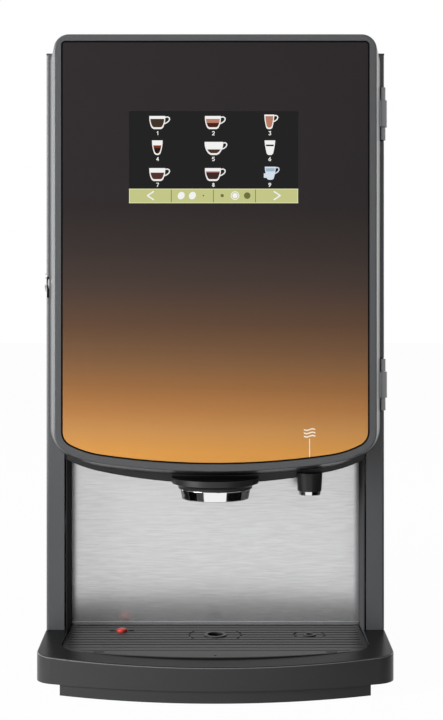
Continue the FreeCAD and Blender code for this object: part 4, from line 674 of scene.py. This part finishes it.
def add_stage():
    """A pale floor that looks white, with a trace of the machine's shadow."""
    material, tree, shader = new_material("floor")
    shader.inputs["Base Color"].default_value = (0.9, 0.9, 0.9, 1.0)
    shader.inputs["Roughness"].default_value = 0.9
    white = tree.nodes.new("ShaderNodeEmission")
    path = tree.nodes.new("ShaderNodeLightPath")
    seen = tree.nodes.new("ShaderNodeMath")
    seen.operation = "MAXIMUM"
    share = tree.nodes.new("ShaderNodeMath")
    share.operation = "MULTIPLY"
    share.inputs[1].default_value = FLOOR_WHITE
    mix = tree.nodes.new("ShaderNodeMixShader")
    out = tree.nodes["Material Output"]
    tree.links.new(path.outputs["Is Camera Ray"], seen.inputs[0])
    tree.links.new(path.outputs["Is Glossy Ray"], seen.inputs[1])
    tree.links.new(seen.outputs["Value"], share.inputs[0])
    tree.links.new(share.outputs["Value"], mix.inputs["Fac"])
    tree.links.new(shader.outputs["BSDF"], mix.inputs[1])
    tree.links.new(white.outputs["Emission"], mix.inputs[2])
    tree.links.new(mix.outputs["Shader"], out.inputs["Surface"])
    size = 14000.0
    corners = [(-size, -size, 0), (size, -size, 0), (size, size, 0), (-size, size, 0)]
    floor = add_mesh("floor", corners, [(0, 1, 2, 3)], material)


def add_flag(name, corners, height, material):
    """An upright dark card beside the machine that only reflections see."""
    verts = [(x, y, z) for x, y in corners for z in (0.0, height)]
    faces = [(2 * i, 2 * i + 2, 2 * i + 3, 2 * i + 1) for i in range(len(corners) - 1)]
    flag = add_mesh(name, verts, faces, material)
    flag.visible_camera = False
    flag.visible_diffuse = False
    flag.visible_shadow = False
    flag.visible_transmission = False


def add_area(name, place, aim, width, height, power):
    data = bpy.data.lights.new(name, "AREA")
    data.shape = "RECTANGLE"
    data.size = width
    data.size_y = height
    data.energy = power
    light = bpy.data.objects.new(name, data)
    light.location = place
    light.rotation_euler = (Vector(aim) - Vector(place)).to_track_quat("-Z", "Y").to_euler()
    scene.collection.objects.link(light)


def add_world():
    world = bpy.data.worlds.new("studio")
    scene.world = world
    world.use_nodes = True
    tree = world.node_tree
    tree.nodes.clear()
    out = tree.nodes.new("ShaderNodeOutputWorld")
    seen = tree.nodes.new("ShaderNodeBackground")
    seen.inputs["Color"].default_value = (1.0, 1.0, 1.0, 1.0)
    seen.inputs["Strength"].default_value = 1.0
    lit = tree.nodes.new("ShaderNodeBackground")
    lit.inputs["Color"].default_value = (1.0, 1.0, 1.0, 1.0)
    lit.inputs["Strength"].default_value = 0.14
    path = tree.nodes.new("ShaderNodeLightPath")
    direct = tree.nodes.new("ShaderNodeMath")
    direct.operation = "MAXIMUM"
    mirrored = tree.nodes.new("ShaderNodeMath")
    mirrored.operation = "MAXIMUM"
    mix = tree.nodes.new("ShaderNodeMixShader")
    tree.links.new(path.outputs["Is Camera Ray"], direct.inputs[0])
    tree.links.new(path.outputs["Is Transmission Ray"], direct.inputs[1])
    tree.links.new(direct.outputs["Value"], mirrored.inputs[0])
    tree.links.new(path.outputs["Is Glossy Ray"], mirrored.inputs[1])
    tree.links.new(mirrored.outputs["Value"], mix.inputs["Fac"])
    tree.links.new(lit.outputs["Background"], mix.inputs[1])
    tree.links.new(seen.outputs["Background"], mix.inputs[2])
    tree.links.new(mix.outputs["Shader"], out.inputs["Surface"])


# How much of the floor's colour is plain white, and where the cards stand that darken the chrome
FLOOR_WHITE = 0.975
FLAG_LEFT_GREY = ((-197.0, -367.0), (-282.0, -265.0))
FLAG_LEFT = ((-283.0, -264.0), (-320.0, -180.0), (-337.0, -68.0))
FLAG_RIGHT = ((190.0, -370.0), (260.0, -300.0), (320.0, -180.0), (337.0, -68.0))
FLAG_HEIGHT = 170.0

add_stage()
flag_black = plastic("flag_black", "060606", 0.9, gloss=0.0)
add_flag("flag_left_grey", FLAG_LEFT_GREY, FLAG_HEIGHT, plastic("flag_grey", "6a6a6a", 0.9, gloss=0.0))
add_flag("flag_left", FLAG_LEFT, FLAG_HEIGHT, flag_black)
add_flag("flag_right", FLAG_RIGHT, FLAG_HEIGHT, flag_black)
add_world()
add_area("key", (-2.0, -1.3, 0.7), (0.0, -0.1, 0.3), 1.2, 1.4, 76.0)
add_area("top", (-0.3, -0.3, 2.2), (0.0, -0.1, 0.3), 0.5, 0.5, 1.5)
add_area("rim_left", (-1.6, 1.2, 0.8), (-0.1, 0.0, 0.3), 0.6, 1.2, 8.0)
add_area("rim_right", (1.6, 1.2, 0.8), (0.1, 0.0, 0.3), 0.6, 1.2, 8.0)
